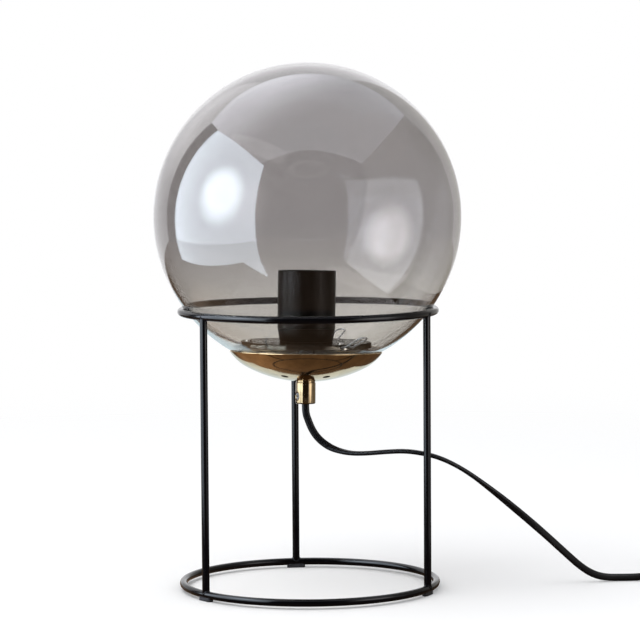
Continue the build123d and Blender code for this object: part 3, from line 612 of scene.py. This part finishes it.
def smooth_line(points):
    """The points of one smooth curve that is drawn through the pull of these."""
    curve = bpy.data.curves.new("cord_route", "CURVE")
    curve.dimensions = "3D"
    spline = curve.splines.new("NURBS")
    spline.points.add(len(points) - 1)
    for place, point in zip(spline.points, points):
        place.co = (*point, 1.0)
    spline.order_u = 3
    spline.use_endpoint_u = True
    spline.resolution_u = 6
    line = bpy.data.objects.new("cord_route", curve)
    mesh = bpy.data.meshes.new_from_object(line)
    path = [vertex.co.copy() for vertex in mesh.vertices]
    bpy.data.objects.remove(line)
    bpy.data.curves.remove(curve)
    bpy.data.meshes.remove(mesh)
    return path


def smooth_share(value, start, end):
    """0 before start, 1 after end, and an easy climb between them."""
    share = min(max((value - start) / (end - start), 0), 1)
    return share * share * (3 - 2 * share)


# Where along X, in metres, the broad side turns from across to level, and from level on edge.
TO_LEVEL = (0.002, 0.07)
TO_EDGE = (0.12, 0.2)


def broad_ways(path):
    """Which way the cord's broad side lies: across at the grip, level, then on edge."""
    ways = []
    for place, point in enumerate(path):
        heading = (path[min(place + 1, len(path) - 1)] - path[max(place - 1, 0)]).normalized()
        flat = UP.cross(heading).normalized()
        steep = flat.cross(heading)
        hanging = 1 - smooth_share(point.x, *TO_LEVEL)
        on_edge = smooth_share(point.x, *TO_EDGE) * pi / 2
        way = flat * cos(on_edge) + steep * sin(on_edge)
        across = Vector((1, 0, 0)) - heading * heading.x
        ways.append((way * (1 - hanging) + across * hanging).normalized())
    return ways


class LAMP_OT_cord(bpy.types.Operator):
    """Lays the flat twin cord from the grip, through the switch and a coil, to the plug"""

    bl_idname = "lamp.cord"
    bl_label = "Cord"

    def execute(self, context):
        sizes = context.scene.lamp_sizes
        leave = on_axis(GRIP_H)
        down = on_axis(GRIP_H - 7)
        route = [Vector(point) for point in (*HANGING, *PAST_THE_SWITCH)]
        route += [*coil_route(), *(Vector(point) for point in TO_THE_PLUG)]
        path = smooth_line([leave, down, *(point * MM for point in route)])
        half = sizes.cord_thickness / 2
        core = sizes.cord_width / 2 - half
        outline = []
        for side, start in ((1, -pi / 2), (-1, pi / 2)):
            for turn in range(CORD_STEPS + 1):
                angle = start + pi * turn / CORD_STEPS
                outline.append((side * core + half * cos(angle), half * sin(angle)))
        cord = carried("flat_twin_cord", path, outline, broad_ways(path))
        cord.data.materials.append(cord_sheath())
        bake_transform(cord)
        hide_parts("cord_lead", "cord_mid", "cord_coil", "cord_tail")
        dress(cord.data.materials[0], "cord_in_lamp")
        return {"FINISHED"}


# The stand


RING_R = 103.3
BAR_R = 3.0
LOWER_Z = 5.0
UPPER_Z = 227.2
LEG_ANGLES = (96.8, 216.8, 336.8)
RING_STEPS = 288
BAR_STEPS = 28
WELD_STEPS = 64
BEAD_STEPS = 12
WELD_RIPPLES = 7


def circle(centre, outward, radius, steps):
    """Points of a circle round a centre, in the plane of an outward way and the vertical."""
    angles = [tau * step / steps for step in range(steps)]
    return [centre + (outward * cos(a) + UP * sin(a)) * radius for a in angles]


def weld_rings(outward, height, up, bead, number):
    """Rings of the bead that follows the line where a leg's end cuts into a ring."""
    sideways = UP.cross(outward)
    rings = []
    for step in range(WELD_STEPS):
        turn = tau * step / WELD_STEPS
        lean = outward * cos(turn) + sideways * sin(turn)
        off = outward * RING_R + lean * BAR_R
        aside = sqrt(off.x**2 + off.y**2) - RING_R
        climb = sqrt(max(BAR_R**2 - aside**2, 0.0))
        centre = Vector((off.x, off.y, height + up * climb)) * MM
        size = bead * (0.85 + 0.15 * sin(WELD_RIPPLES * turn + number))
        rings.append(circle(centre, lean, size, BEAD_STEPS))
    return rings


class LAMP_OT_stand(bpy.types.Operator):
    """Finishes the two rings and three legs, with a weld bead round each end of a leg"""

    bl_idname = "lamp.stand"
    bl_label = "Stand"

    def execute(self, context):
        coat = powder_coat()
        for name, height in (("lower_ring", LOWER_Z), ("upper_ring", UPPER_Z)):
            rings = []
            for step in range(RING_STEPS):
                around = tau * step / RING_STEPS
                outward = Vector((cos(around), sin(around), 0))
                centre = (outward * RING_R + UP * height) * MM
                rings.append(circle(centre, outward, BAR_R * MM, BAR_STEPS))
            ring = skin(f"bent_{name}", rings, True)
            placed(ring, "stand", [name], coat)
        dress(coat, "leg_back", "leg_front_left", "leg_front_right")
        bead = context.scene.lamp_sizes.weld_bead / 2
        for number, degrees_round in enumerate(LEG_ANGLES):
            around = radians(degrees_round)
            outward = Vector((cos(around), sin(around), 0))
            for end, height, up in (("low", LOWER_Z, 1), ("high", UPPER_Z, -1)):
                rings = weld_rings(outward, height, up, bead, number)
                weld = skin(f"weld_bead_{end}_{number + 1}", rings, True)
                placed(weld, "stand", [], coat)
        dress(small_finish("pad_rubber"), "glide_pads")
        return {"FINISHED"}


# The globe and the brass under it


# Radii, and heights from the globe's centre along its axis, in millimetres.
GLOBE_R = 125.0
GLASS_INNER_R = 122.0
NECK_H = -109.59
RIM_H = -109.19
DISH_H = -133.19
RIM_R = 62.3
CROWN_R = 105.0
BREAK_R = 48.0
FLAT_R = 10.2
SHEET = 0.8
TUBE_HOLE_R = 5.05
VENTS = 6
VENT_R = 3.0
VENTS_OUT = 33.4
# Below this band, the inside of the dish is painted shade.
RIM_BAND = 1.0  # height of the polished band inside the rim
GLASS_STEPS = 110


class LAMP_OT_globe(bpy.types.Operator):
    """Blows the globe, with a fire-polished edge round its neck"""

    bl_idname = "lamp.globe"
    bl_label = "Globe"

    def execute(self, context):
        edge = context.scene.lamp_sizes.glass_edge / MM
        low_outer = asin(NECK_H / GLOBE_R) * 180 / pi
        low_inner = asin(NECK_H / GLASS_INNER_R) * 180 / pi
        outer = arc((0, 0), GLOBE_R, low_outer, 90, GLASS_STEPS)
        inner = arc((0, 0), GLASS_INNER_R, 90, low_inner, GLASS_STEPS)
        outer[0] = (*outer[0][:2], edge)
        inner[-1] = (*inner[-1][:2], edge)
        outer[1:2], inner[-2:-1] = [], []
        section = eased([*outer, *inner])
        glass = blown_glass()
        turned("blown_globe", section, "glass", ["glass_globe"], glass, 200)
        return {"FINISHED"}


def dish_edge():
    """Centre of the dish's crown, then centre and radius of the arc from belly to rim."""
    crown = Vector((0, DISH_H + sqrt(CROWN_R**2 - FLAT_R**2)))
    lean = asin(BREAK_R / CROWN_R)
    turn = crown + Vector((sin(lean), -cos(lean))) * CROWN_R
    inward = Vector((-sin(lean), cos(lean)))
    to_rim = Vector((RIM_R, RIM_H)) - turn
    radius = to_rim.length**2 / (2 * to_rim.dot(inward))
    return crown, turn + inward * radius, radius


def degrees_at(centre, point):
    """Direction of a point from a centre, in degrees."""
    return (Vector(point) - Vector(centre)).angle_signed(Vector((1, 0))) * 180 / pi


class LAMP_OT_dish(bpy.types.Operator):
    """Spins the brass dish with its vents, and lays the ring that the glass stands on"""

    bl_idname = "lamp.dish"
    bl_label = "Dish"

    def execute(self, context):
        crown, edge, edge_r = dish_edge()
        start = degrees_at(crown, (FLAT_R, DISH_H))
        turn = -90 + asin(BREAK_R / CROWN_R) * 180 / pi
        rim = degrees_at(edge, (RIM_R, RIM_H))
        outside = [
            *arc(crown, CROWN_R, start, turn, 40),
            *arc(edge, edge_r, turn, rim, 24)[1:],
        ]
        inside = [
            *arc(edge, edge_r - SHEET, rim, turn, 24),
            *arc(crown, CROWN_R - SHEET, turn, start, 40)[1:],
        ]
        outside[-1] = (*outside[-1][:2], 0.3)
        inside[0] = (*inside[0][:2], 0.3)
        hole = (TUBE_HOLE_R, DISH_H, 0), (TUBE_HOLE_R, DISH_H + SHEET, 0)
        section = eased([hole[0], *outside, *inside, hole[1]], 3)
        brass = spun_brass()
        dish = turned("spun_dish", section, "fitting", ["brass_dish"], brass, 192)
        vents = []
        for number in range(VENTS):
            around = tau * number / VENTS
            below = Vector((VENTS_OUT * cos(around), VENTS_OUT * sin(around), DISH_H - 4))
            stops = ((0, VENT_R * MM), (20 * MM, VENT_R * MM))
            vents.append(cone(f"vent_{number}", unit @ (below * MM), unit.to_3x3() @ UP, stops))
        drilled(dish, vents)
        dish.data.materials.append(shaded_dish_inside())
        # Inside faces below the rim band take the dish's painted shade; the band at the rim keeps
        # the polished brass.
        straight = unit.inverted()
        for face in dish.data.polygons:
            low = (straight @ face.center).z < (RIM_H - RIM_BAND) * MM
            faces_up = (straight.to_3x3() @ face.normal).z > -0.02
            if low and faces_up:
                face.material_index = 1
        dress(small_finish("clear_silicone"), "glass_gasket")
        return {"FINISHED"}


SCREW_ROUND = radians(207)
SCREW_UP = 6.2
SCREW_HOLE = ((1.0, 3.05), (6.9, 3.05), (8.1, 4.25), (9.2, 5.3))  # (distance, radius)


class LAMP_OT_grip(bpy.types.Operator):
    """Turns the cord grip and drills it for its slotted screw"""

    bl_idname = "lamp.grip"
    bl_label = "Cord grip"

    def execute(self, context):
        corners = (
            (3.5, GRIP_H, 0.4),
            (8.1, GRIP_H, 1.2),
            (8.1, DISH_H - 1.3, 0.3),
            (7.6, DISH_H - 0.9, 0.15),
            (7.6, DISH_H, 0),
            (TUBE_HOLE_R, DISH_H, 0),
            (TUBE_HOLE_R, DISH_H - 8, 0),
            (3.5, DISH_H - 8, 0),
        )
        brass = darkened_turned_brass()
        section = eased(corners, 4)
        grip = turned("turned_grip", section, "fitting", ["cord_grip"], brass, 96)
        out = unit.to_3x3() @ Vector((cos(SCREW_ROUND), sin(SCREW_ROUND), 0))
        stops = [(distance * MM, radius * MM) for distance, radius in SCREW_HOLE]
        drilled(grip, [cone("screw_hole", on_axis(GRIP_H + SCREW_UP), out, stops)])
        dress(small_finish("zinc_steel"), "grip_screw")
        return {"FINISHED"}


# The lamp holder and what carries it


SLEEVE_TOP = -43.29
BASE_TOP = -90.29
CUP_TOP = -100.99
SHELL_TOP = -49.29
SHELL_LOW = -75.29
SHELL_LIP = 0.8
SHELL_R = 13.6
SHELL_WALL = 0.3
THREAD_ROWS = 90
THREAD_STEPS = 96
RUN_IN = 12  # the thread gets its full depth over one part in this many of the height


def thread_rings(pitch, depth):
    """Rings up the inside of the threaded shell and down its outside, sizes in millimetres."""
    low = SHELL_LOW + SHELL_LIP
    shares = [row / THREAD_ROWS for row in range(THREAD_ROWS + 1)]
    rings = []
    for wall, climb in ((0.0, shares), (SHELL_WALL, shares[::-1])):
        for share in climb:
            height = low + (SHELL_TOP - low) * share
            deep = depth * min(1.0, (1 - share) * RUN_IN)
            ring = []
            for step in range(THREAD_STEPS):
                a = tau * step / THREAD_STEPS
                wave = 0.5 + 0.5 * cos(tau * height / pitch - a)
                radius = SHELL_R - deep * (1 - wave) + wall
                ring.append(unit @ (Vector((radius * cos(a), radius * sin(a), height)) * MM))
            rings.append(ring)
    return rings


class LAMP_OT_holder(bpy.types.Operator):
    """Moulds the lamp holder and rolls its threaded socket"""

    bl_idname = "lamp.holder"
    bl_label = "Lamp holder"

    def execute(self, context):
        sizes = context.scene.lamp_sizes
        resin = holder_resin()
        sleeve = (
            (23.5, BASE_TOP, 0.5),
            (23.5, SLEEVE_TOP, 1.0),
            (21.7, SLEEVE_TOP, 1.0),
            (21.7, BASE_TOP, 0.2),
        )
        section = eased(sleeve)
        turned("moulded_sleeve", section, "fitting", ["holder_sleeve"], resin)
        base = (
            (TUBE_HOLE_R, CUP_TOP, 0),
            (21.5, CUP_TOP, 0.6),
            (23.5, BASE_TOP, 0.5),
            (21.6, BASE_TOP, 0),
            (21.6, BASE_TOP + 4, 0.3),
            (19.5, BASE_TOP + 4, 0.3),
            (19.5, BASE_TOP, 0),
            (19.5, CUP_TOP + 2, 0.4),
            (9.0, CUP_TOP + 2, 0.4),
            (9.0, CUP_TOP + 5.5, 0.3),
            (TUBE_HOLE_R, CUP_TOP + 5.5, 0),
        )
        section = eased(base, 3)
        turned("moulded_base", section, "fitting", ["holder_base"], resin)
        rings = thread_rings(sizes.thread_pitch / MM, sizes.thread_depth / MM)
        shell = skin("rolled_threaded_shell", rings, True)
        plate = small_finish("nickel_plate")
        placed(shell, "fitting", ["threaded_shell"], plate)
        dress(small_finish("white_ceramic"), "holder_body")
        dress(small_finish("spring_brass"), "centre_contact", "side_contact")
        dress(small_finish("spring_brass"), "terminal_blocks")
        dress(small_finish("zinc_steel"), "terminal_screws")
        dress(small_finish("wire_insulation"), "holder_wires")
        return {"FINISHED"}


class LAMP_OT_carrier(bpy.types.Operator):
    """Finishes the plated cup, its spring clips and the tube that holds them to the dish"""

    bl_idname = "lamp.carrier"
    bl_label = "Clips and cup"

    def execute(self, context):
        dress(streaked_plated_cup(), "clip_cup")
        dress(small_finish("nickel_plate"), "clip_rivets")
        dress(small_finish("spring_steel"), "spring_clips")
        names = ("threaded_tube", "dish_washer", "dish_nut", "spacer_tube")
        dress(small_finish("zinc_steel"), *names)
        return {"FINISHED"}


# The switch and the plug


class LAMP_OT_switch(bpy.types.Operator):
    """Finishes the inline switch"""

    bl_idname = "lamp.switch"
    bl_label = "Switch"

    def execute(self, context):
        plastic = small_finish("switch_plastic")
        dress(plastic, "switch_base", "switch_cover", "switch_rocker")
        dress(small_finish("zinc_steel"), "switch_screws")
        dress(small_finish("spring_brass"), "switch_contacts", "contact_leaf")
        dress(small_finish("wire_insulation"), "switch_wires")
        return {"FINISHED"}


RELIEF_START = Vector((348.5, 107.0, 6.85))
RELIEF_LENGTH = 16.5
RELIEF_R = (5.0, 3.9)  # at its root and at its tip
RIB_STOPS = ((-0.9, -0.3), (-0.5, 0.4), (0.5, 0.4), (0.9, -0.3))  # (distance, past the relief)


class LAMP_OT_plug(bpy.types.Operator):
    """Finishes the flat two-pin plug, with ribs on its strain relief"""

    bl_idname = "lamp.plug"
    bl_label = "Plug"

    def execute(self, context):
        soft = small_finish("black_plug")
        dress(soft, "plug_body")
        dress(small_finish("nickel_plate"), "plug_pins")
        ribs = context.scene.lamp_sizes.relief_ribs
        for number in range(ribs):
            share = (number + 0.5) / ribs
            place = (RELIEF_START + Vector((RELIEF_LENGTH * share, 0, 0))) * MM
            radius = RELIEF_R[0] + (RELIEF_R[1] - RELIEF_R[0]) * share
            stops = [(distance * MM, (radius + past) * MM) for distance, past in RIB_STOPS]
            rib = cone(f"relief_rib_{number + 1}", place, Vector((1, 0, 0)), stops, 32)
            placed(rib, "stand", [], soft)
        return {"FINISHED"}


# The table, the light and the camera


def upright(start, end, low=-0.5, high=3.2):
    """Corners of a panel that stands on a line, from one height to another."""
    return [(*start, low), (*end, low), (*end, high), (*start, high)]


def level(corners, height=0.0006):
    """Corners of a panel that lies at one height."""
    return [(*corner, height) for corner in corners]


# What the glass and the metal mirror: each panel's corners in metres, its colour and strength,
# and, if it has one, the centre, radius and gain of its bright spot.
SCREEN_LINE = [(-1.55, 1.1), (0.0, 1.36), (1.5, 1.6), (1.5, -1.3), (0.0, -1.2), (-1.55, -1.5)]
SOFTBOX_LEFT = [
    (-0.38, -0.545, 0.15),
    (-0.872, 0.306, 0.15),
    (-0.841, 0.252, 1.113),
    (-0.38, -0.545, 0.782),
]
SOFTBOX_RIGHT = [
    (0.272, -0.513, 0.002),
    (0.529, -0.041, 0.002),
    (0.534, -0.031, 0.474),
    (0.348, -0.373, 0.525),
]
PALE_BOARD = [(-0.16, 0.16), (0.12, 0.16), (0.3, 1.4), (-0.5, 1.28)]
GREY_BOARD = [(0.45, -0.1), (1.5, -0.3), (1.5, 1.6), (0.45, 1.43)]
GLOW_LEFT = [(-0.455, -0.413), (-0.38, -0.545), (-0.208, -0.362)]
GLOW_RIGHT = [(0.272, -0.513), (0.315, -0.096), (0.529, -0.041)]
SPOT_BEHIND = (Vector((-1.2, 1.15, 1.6)), 1.2, 2.0)
SPOT_ABOVE = (Vector((-1.1, 0.95, 1.8)), 1.7, 2.9)
SPOT_BELOW = (Vector((-0.28, 0.1, 0.0)), 0.3, 3.0)
SPOT_LEFT = (Vector((-0.536, -0.273, 0.468)), 0.24, 2.2)
SPOT_RIGHT = (Vector((0.404, -0.27, 0.215)), 0.2, 5.4)
CARDS = (
    ("dark_screen_left", upright((-1.55, -1.5), (-1.55, 1.1)), "#3a322c", 1.0),
    ("dark_screen_front", upright((-1.55, -1.5), (1.5, -1.3)), "#3a322c", 1.0),
    ("grey_screen_right", upright((1.5, -1.3), (1.5, 1.6)), "#a09c96", 1.0),
    ("white_screen_back", upright((-1.55, 1.1), (-0.5, 1.28)), "#f6f6f8", 0.95, SPOT_BEHIND),
    ("pale_screen_back", upright((-0.5, 1.28), (0.5, 1.44)), "#f0f0f2", 1.3),
    ("grey_screen_back", upright((0.5, 1.44), (1.5, 1.6)), "#ceccc8", 1.0),
    ("pale_screen_above", level(SCREEN_LINE, 1.8), "#eef0f8", 1.15, SPOT_ABOVE),
    ("brown_board", level(SCREEN_LINE), "#6f5a48", 0.66, SPOT_BELOW),
    ("pale_board", level(PALE_BOARD, 0.0008), "#dcebf2", 1.0),
    ("grey_board", level(GREY_BOARD, 0.0008), "#a8a39a", 1.0),
    ("glow_on_board_left", level(GLOW_LEFT, 0.001), "#dce8f4", 5.0),
    ("glow_on_board_right", level(GLOW_RIGHT, 0.001), "#e6e2e2", 1.6),
    ("softbox_left", SOFTBOX_LEFT, "#dce8f4", 7.0, SPOT_LEFT),
    ("softbox_left_foot", upright((-0.38, -0.545), (-0.876, 0.313), 0.002, 0.15), "#dce8f4", 4.8),
    ("softbox_right", SOFTBOX_RIGHT, "#e6e2e2", 0.9, SPOT_RIGHT),
)
SPOT_CORE = 0.4  # share of a spot's radius that has its full gain


def card(name, corners, tone, strength, spot=None):
    """A glowing or dim panel that shows only in gloss, with a bright spot if it has one."""
    mesh = bpy.data.meshes.new(name)
    mesh.from_pydata(corners, [], [tuple(range(len(corners)))])
    panel = bpy.data.objects.new(name, mesh)
    bpy.context.scene.collection.objects.link(panel)
    material = bpy.data.materials.new(name)
    material.use_nodes = True
    material.cycles.emission_sampling = "NONE"
    tree = material.node_tree
    tree.nodes.remove(tree.nodes["Principled BSDF"])
    glow = add(tree, "Emission", {"Color": linear(tone), "Strength": strength})
    if spot:
        centre, radius, gain = spot
        place = add(tree, "TexCoord").outputs["Object"]
        away = add(tree, "VectorMath", {0: place, 1: centre}, operation="DISTANCE")
        falling = {
            "Value": away.outputs["Value"],
            "From Min": radius * SPOT_CORE,
            "From Max": radius,
            "To Min": strength * gain,
            "To Max": strength,
        }
        fall = add(tree, "MapRange", falling, interpolation_type="SMOOTHSTEP")
        tree.links.new(fall.outputs["Result"], glow.inputs["Strength"])
    mirrored = add(tree, "LightPath").outputs["Glossy Depth"]
    once = add(tree, "Math", {0: mirrored, 1: 1.0}, operation="MINIMUM").outputs[0]
    unseen = add(tree, "BsdfTransparent")
    mixed = add(tree, "MixShader", {0: once, 1: unseen.outputs[0], 2: glow.outputs[0]})
    tree.links.new(mixed.outputs[0], tree.nodes["Material Output"].inputs["Surface"])
    mesh.materials.append(material)
    panel.visible_camera = False
    panel.visible_diffuse = False
    panel.visible_shadow = False


TABLE_CORNERS = [(-8, -6, 0), (8, -6, 0), (8, 10, 0), (-8, 10, 0)]
TABLE_FADE = (0.55, 1.7)  # metres from the stand over which the table turns to plain white
SOFTBOX_PLACE = Vector((-0.7, -0.5, 1.9))
SOFTBOX_AIM = Vector((0, 0, 0.15))
CAMERA_PLACE = (0.01186, -2.3676, 0.4021)
CAMERA_TURN = 0.00096
CAMERA_DIP = 0.0770
CAMERA_ROLL = -0.0065


class LAMP_OT_stage(bpy.types.Operator):
    """Sets the pale table, the soft light, the panels that gloss mirrors, and the camera"""

    bl_idname = "lamp.stage"
    bl_label = "Table, light and camera"

    def execute(self, context):
        scene = context.scene
        mesh = bpy.data.meshes.new("table_top")
        mesh.from_pydata(TABLE_CORNERS, [], [(0, 1, 2, 3)])
        table = bpy.data.objects.new("table_top", mesh)
        scene.collection.objects.link(table)
        tone = scene.lamp_colours.table
        satin = surface("pale_matt_table", {"Base Color": tone}, 1.2, 0.01, (0.75, 0.9))
        tree = satin.node_tree
        shader = tree.nodes["Principled BSDF"]
        shader.inputs["Specular IOR Level"].default_value = 0.0
        place = add(tree, "TexCoord").outputs["Object"]
        away = add(tree, "VectorMath", {0: place}, operation="LENGTH").outputs["Value"]
        fade = {"Value": away, "From Min": TABLE_FADE[0], "From Max": TABLE_FADE[1]}
        far = add(tree, "MapRange", fade, interpolation_type="SMOOTHSTEP")
        beyond = add(tree, "BsdfTransparent")
        ends = {0: far.outputs["Result"], 1: shader.outputs[0], 2: beyond.outputs[0]}
        mixed = add(tree, "MixShader", ends)
        tree.links.new(mixed.outputs[0], tree.nodes["Material Output"].inputs["Surface"])
        mesh.materials.append(satin)

        world = bpy.data.worlds.new("studio")
        scene.world = world
        world.use_nodes = True
        tree = world.node_tree
        rays = add(tree, "LightPath")
        seen = rays.outputs["Is Camera Ray"]
        for kind in ("Is Glossy Ray", "Is Transmission Ray"):
            either = {0: seen, 1: rays.outputs[kind]}
            seen = add(tree, "Math", either, operation="MAXIMUM").outputs[0]
        both = add(tree, "Mix", data_type="RGBA")
        tree.links.new(seen, both.inputs[0])
        both.inputs[6].default_value = linear("#f7f8fa")
        both.inputs[7].default_value = linear("#ffffff")
        tree.links.new(both.outputs[2], tree.nodes["Background"].inputs["Color"])

        key = bpy.data.lights.new("overhead_softbox", "AREA")
        key.shape = "RECTANGLE"
        key.size, key.size_y = 1.6, 1.2
        key.energy = 14.0
        softbox = bpy.data.objects.new("overhead_softbox", key)
        softbox.location = SOFTBOX_PLACE
        aim = SOFTBOX_AIM - SOFTBOX_PLACE
        softbox.rotation_euler = aim.to_track_quat("-Z", "Y").to_euler()
        softbox.visible_camera = False
        softbox.visible_glossy = False
        scene.collection.objects.link(softbox)

        for settings in CARDS:
            card(*settings)

        camera = bpy.data.cameras.new("camera")
        camera.lens = 164.25
        camera.sensor_width = 36.0
        view = bpy.data.objects.new("camera", camera)
        view.matrix_world = (
            Matrix.Translation(CAMERA_PLACE)
            @ Matrix.Rotation(CAMERA_TURN, 4, "Z")
            @ Matrix.Rotation(pi / 2 - CAMERA_DIP, 4, "X")
            @ Matrix.Rotation(CAMERA_ROLL, 4, "Z")
        )
        scene.collection.objects.link(view)
        scene.camera = view
        scene.view_settings.view_transform = "Standard"
        return {"FINISHED"}


OPERATORS = (
    LAMP_OT_stage,
    LAMP_OT_cord,
    LAMP_OT_stand,
    LAMP_OT_globe,
    LAMP_OT_dish,
    LAMP_OT_grip,
    LAMP_OT_holder,
    LAMP_OT_carrier,
    LAMP_OT_switch,
    LAMP_OT_plug,
)


class LAMP_PT_panel(bpy.types.Panel):
    """Lists the lamp's sizes, colours and pieces"""

    bl_idname = "LAMP_PT_panel"
    bl_label = "Glass globe table lamp"
    bl_space_type = "VIEW_3D"
    bl_region_type = "UI"
    bl_category = "Lamp"

    def draw(self, context):
        column = self.layout.column()
        for group in (context.scene.lamp_sizes, context.scene.lamp_colours):
            for name in group.bl_rna.properties.keys():
                if name not in {"rna_type", "name"}:
                    column.prop(group, name)
        for operator in OPERATORS:
            column.operator(operator.bl_idname)


CLASSES = (LampSizes, LampColours, *OPERATORS, LAMP_PT_panel)


def register():
    """Adds the classes and the lamp's settings."""
    for each in CLASSES:
        bpy.utils.register_class(each)
    bpy.types.Scene.lamp_sizes = PointerProperty(type=LampSizes)
    bpy.types.Scene.lamp_colours = PointerProperty(type=LampColours)


def unregister():
    """Takes the lamp's settings and the classes away again."""
    del bpy.types.Scene.lamp_colours
    del bpy.types.Scene.lamp_sizes
    for each in reversed(CLASSES):
        bpy.utils.unregister_class(each)


def main():
    """Registers the classes and builds the lamp."""
    register()
    for operator in OPERATORS:
        group, name = operator.bl_idname.split(".")
        getattr(getattr(bpy.ops, group), name)()


if __name__ == "__main__":
    main()
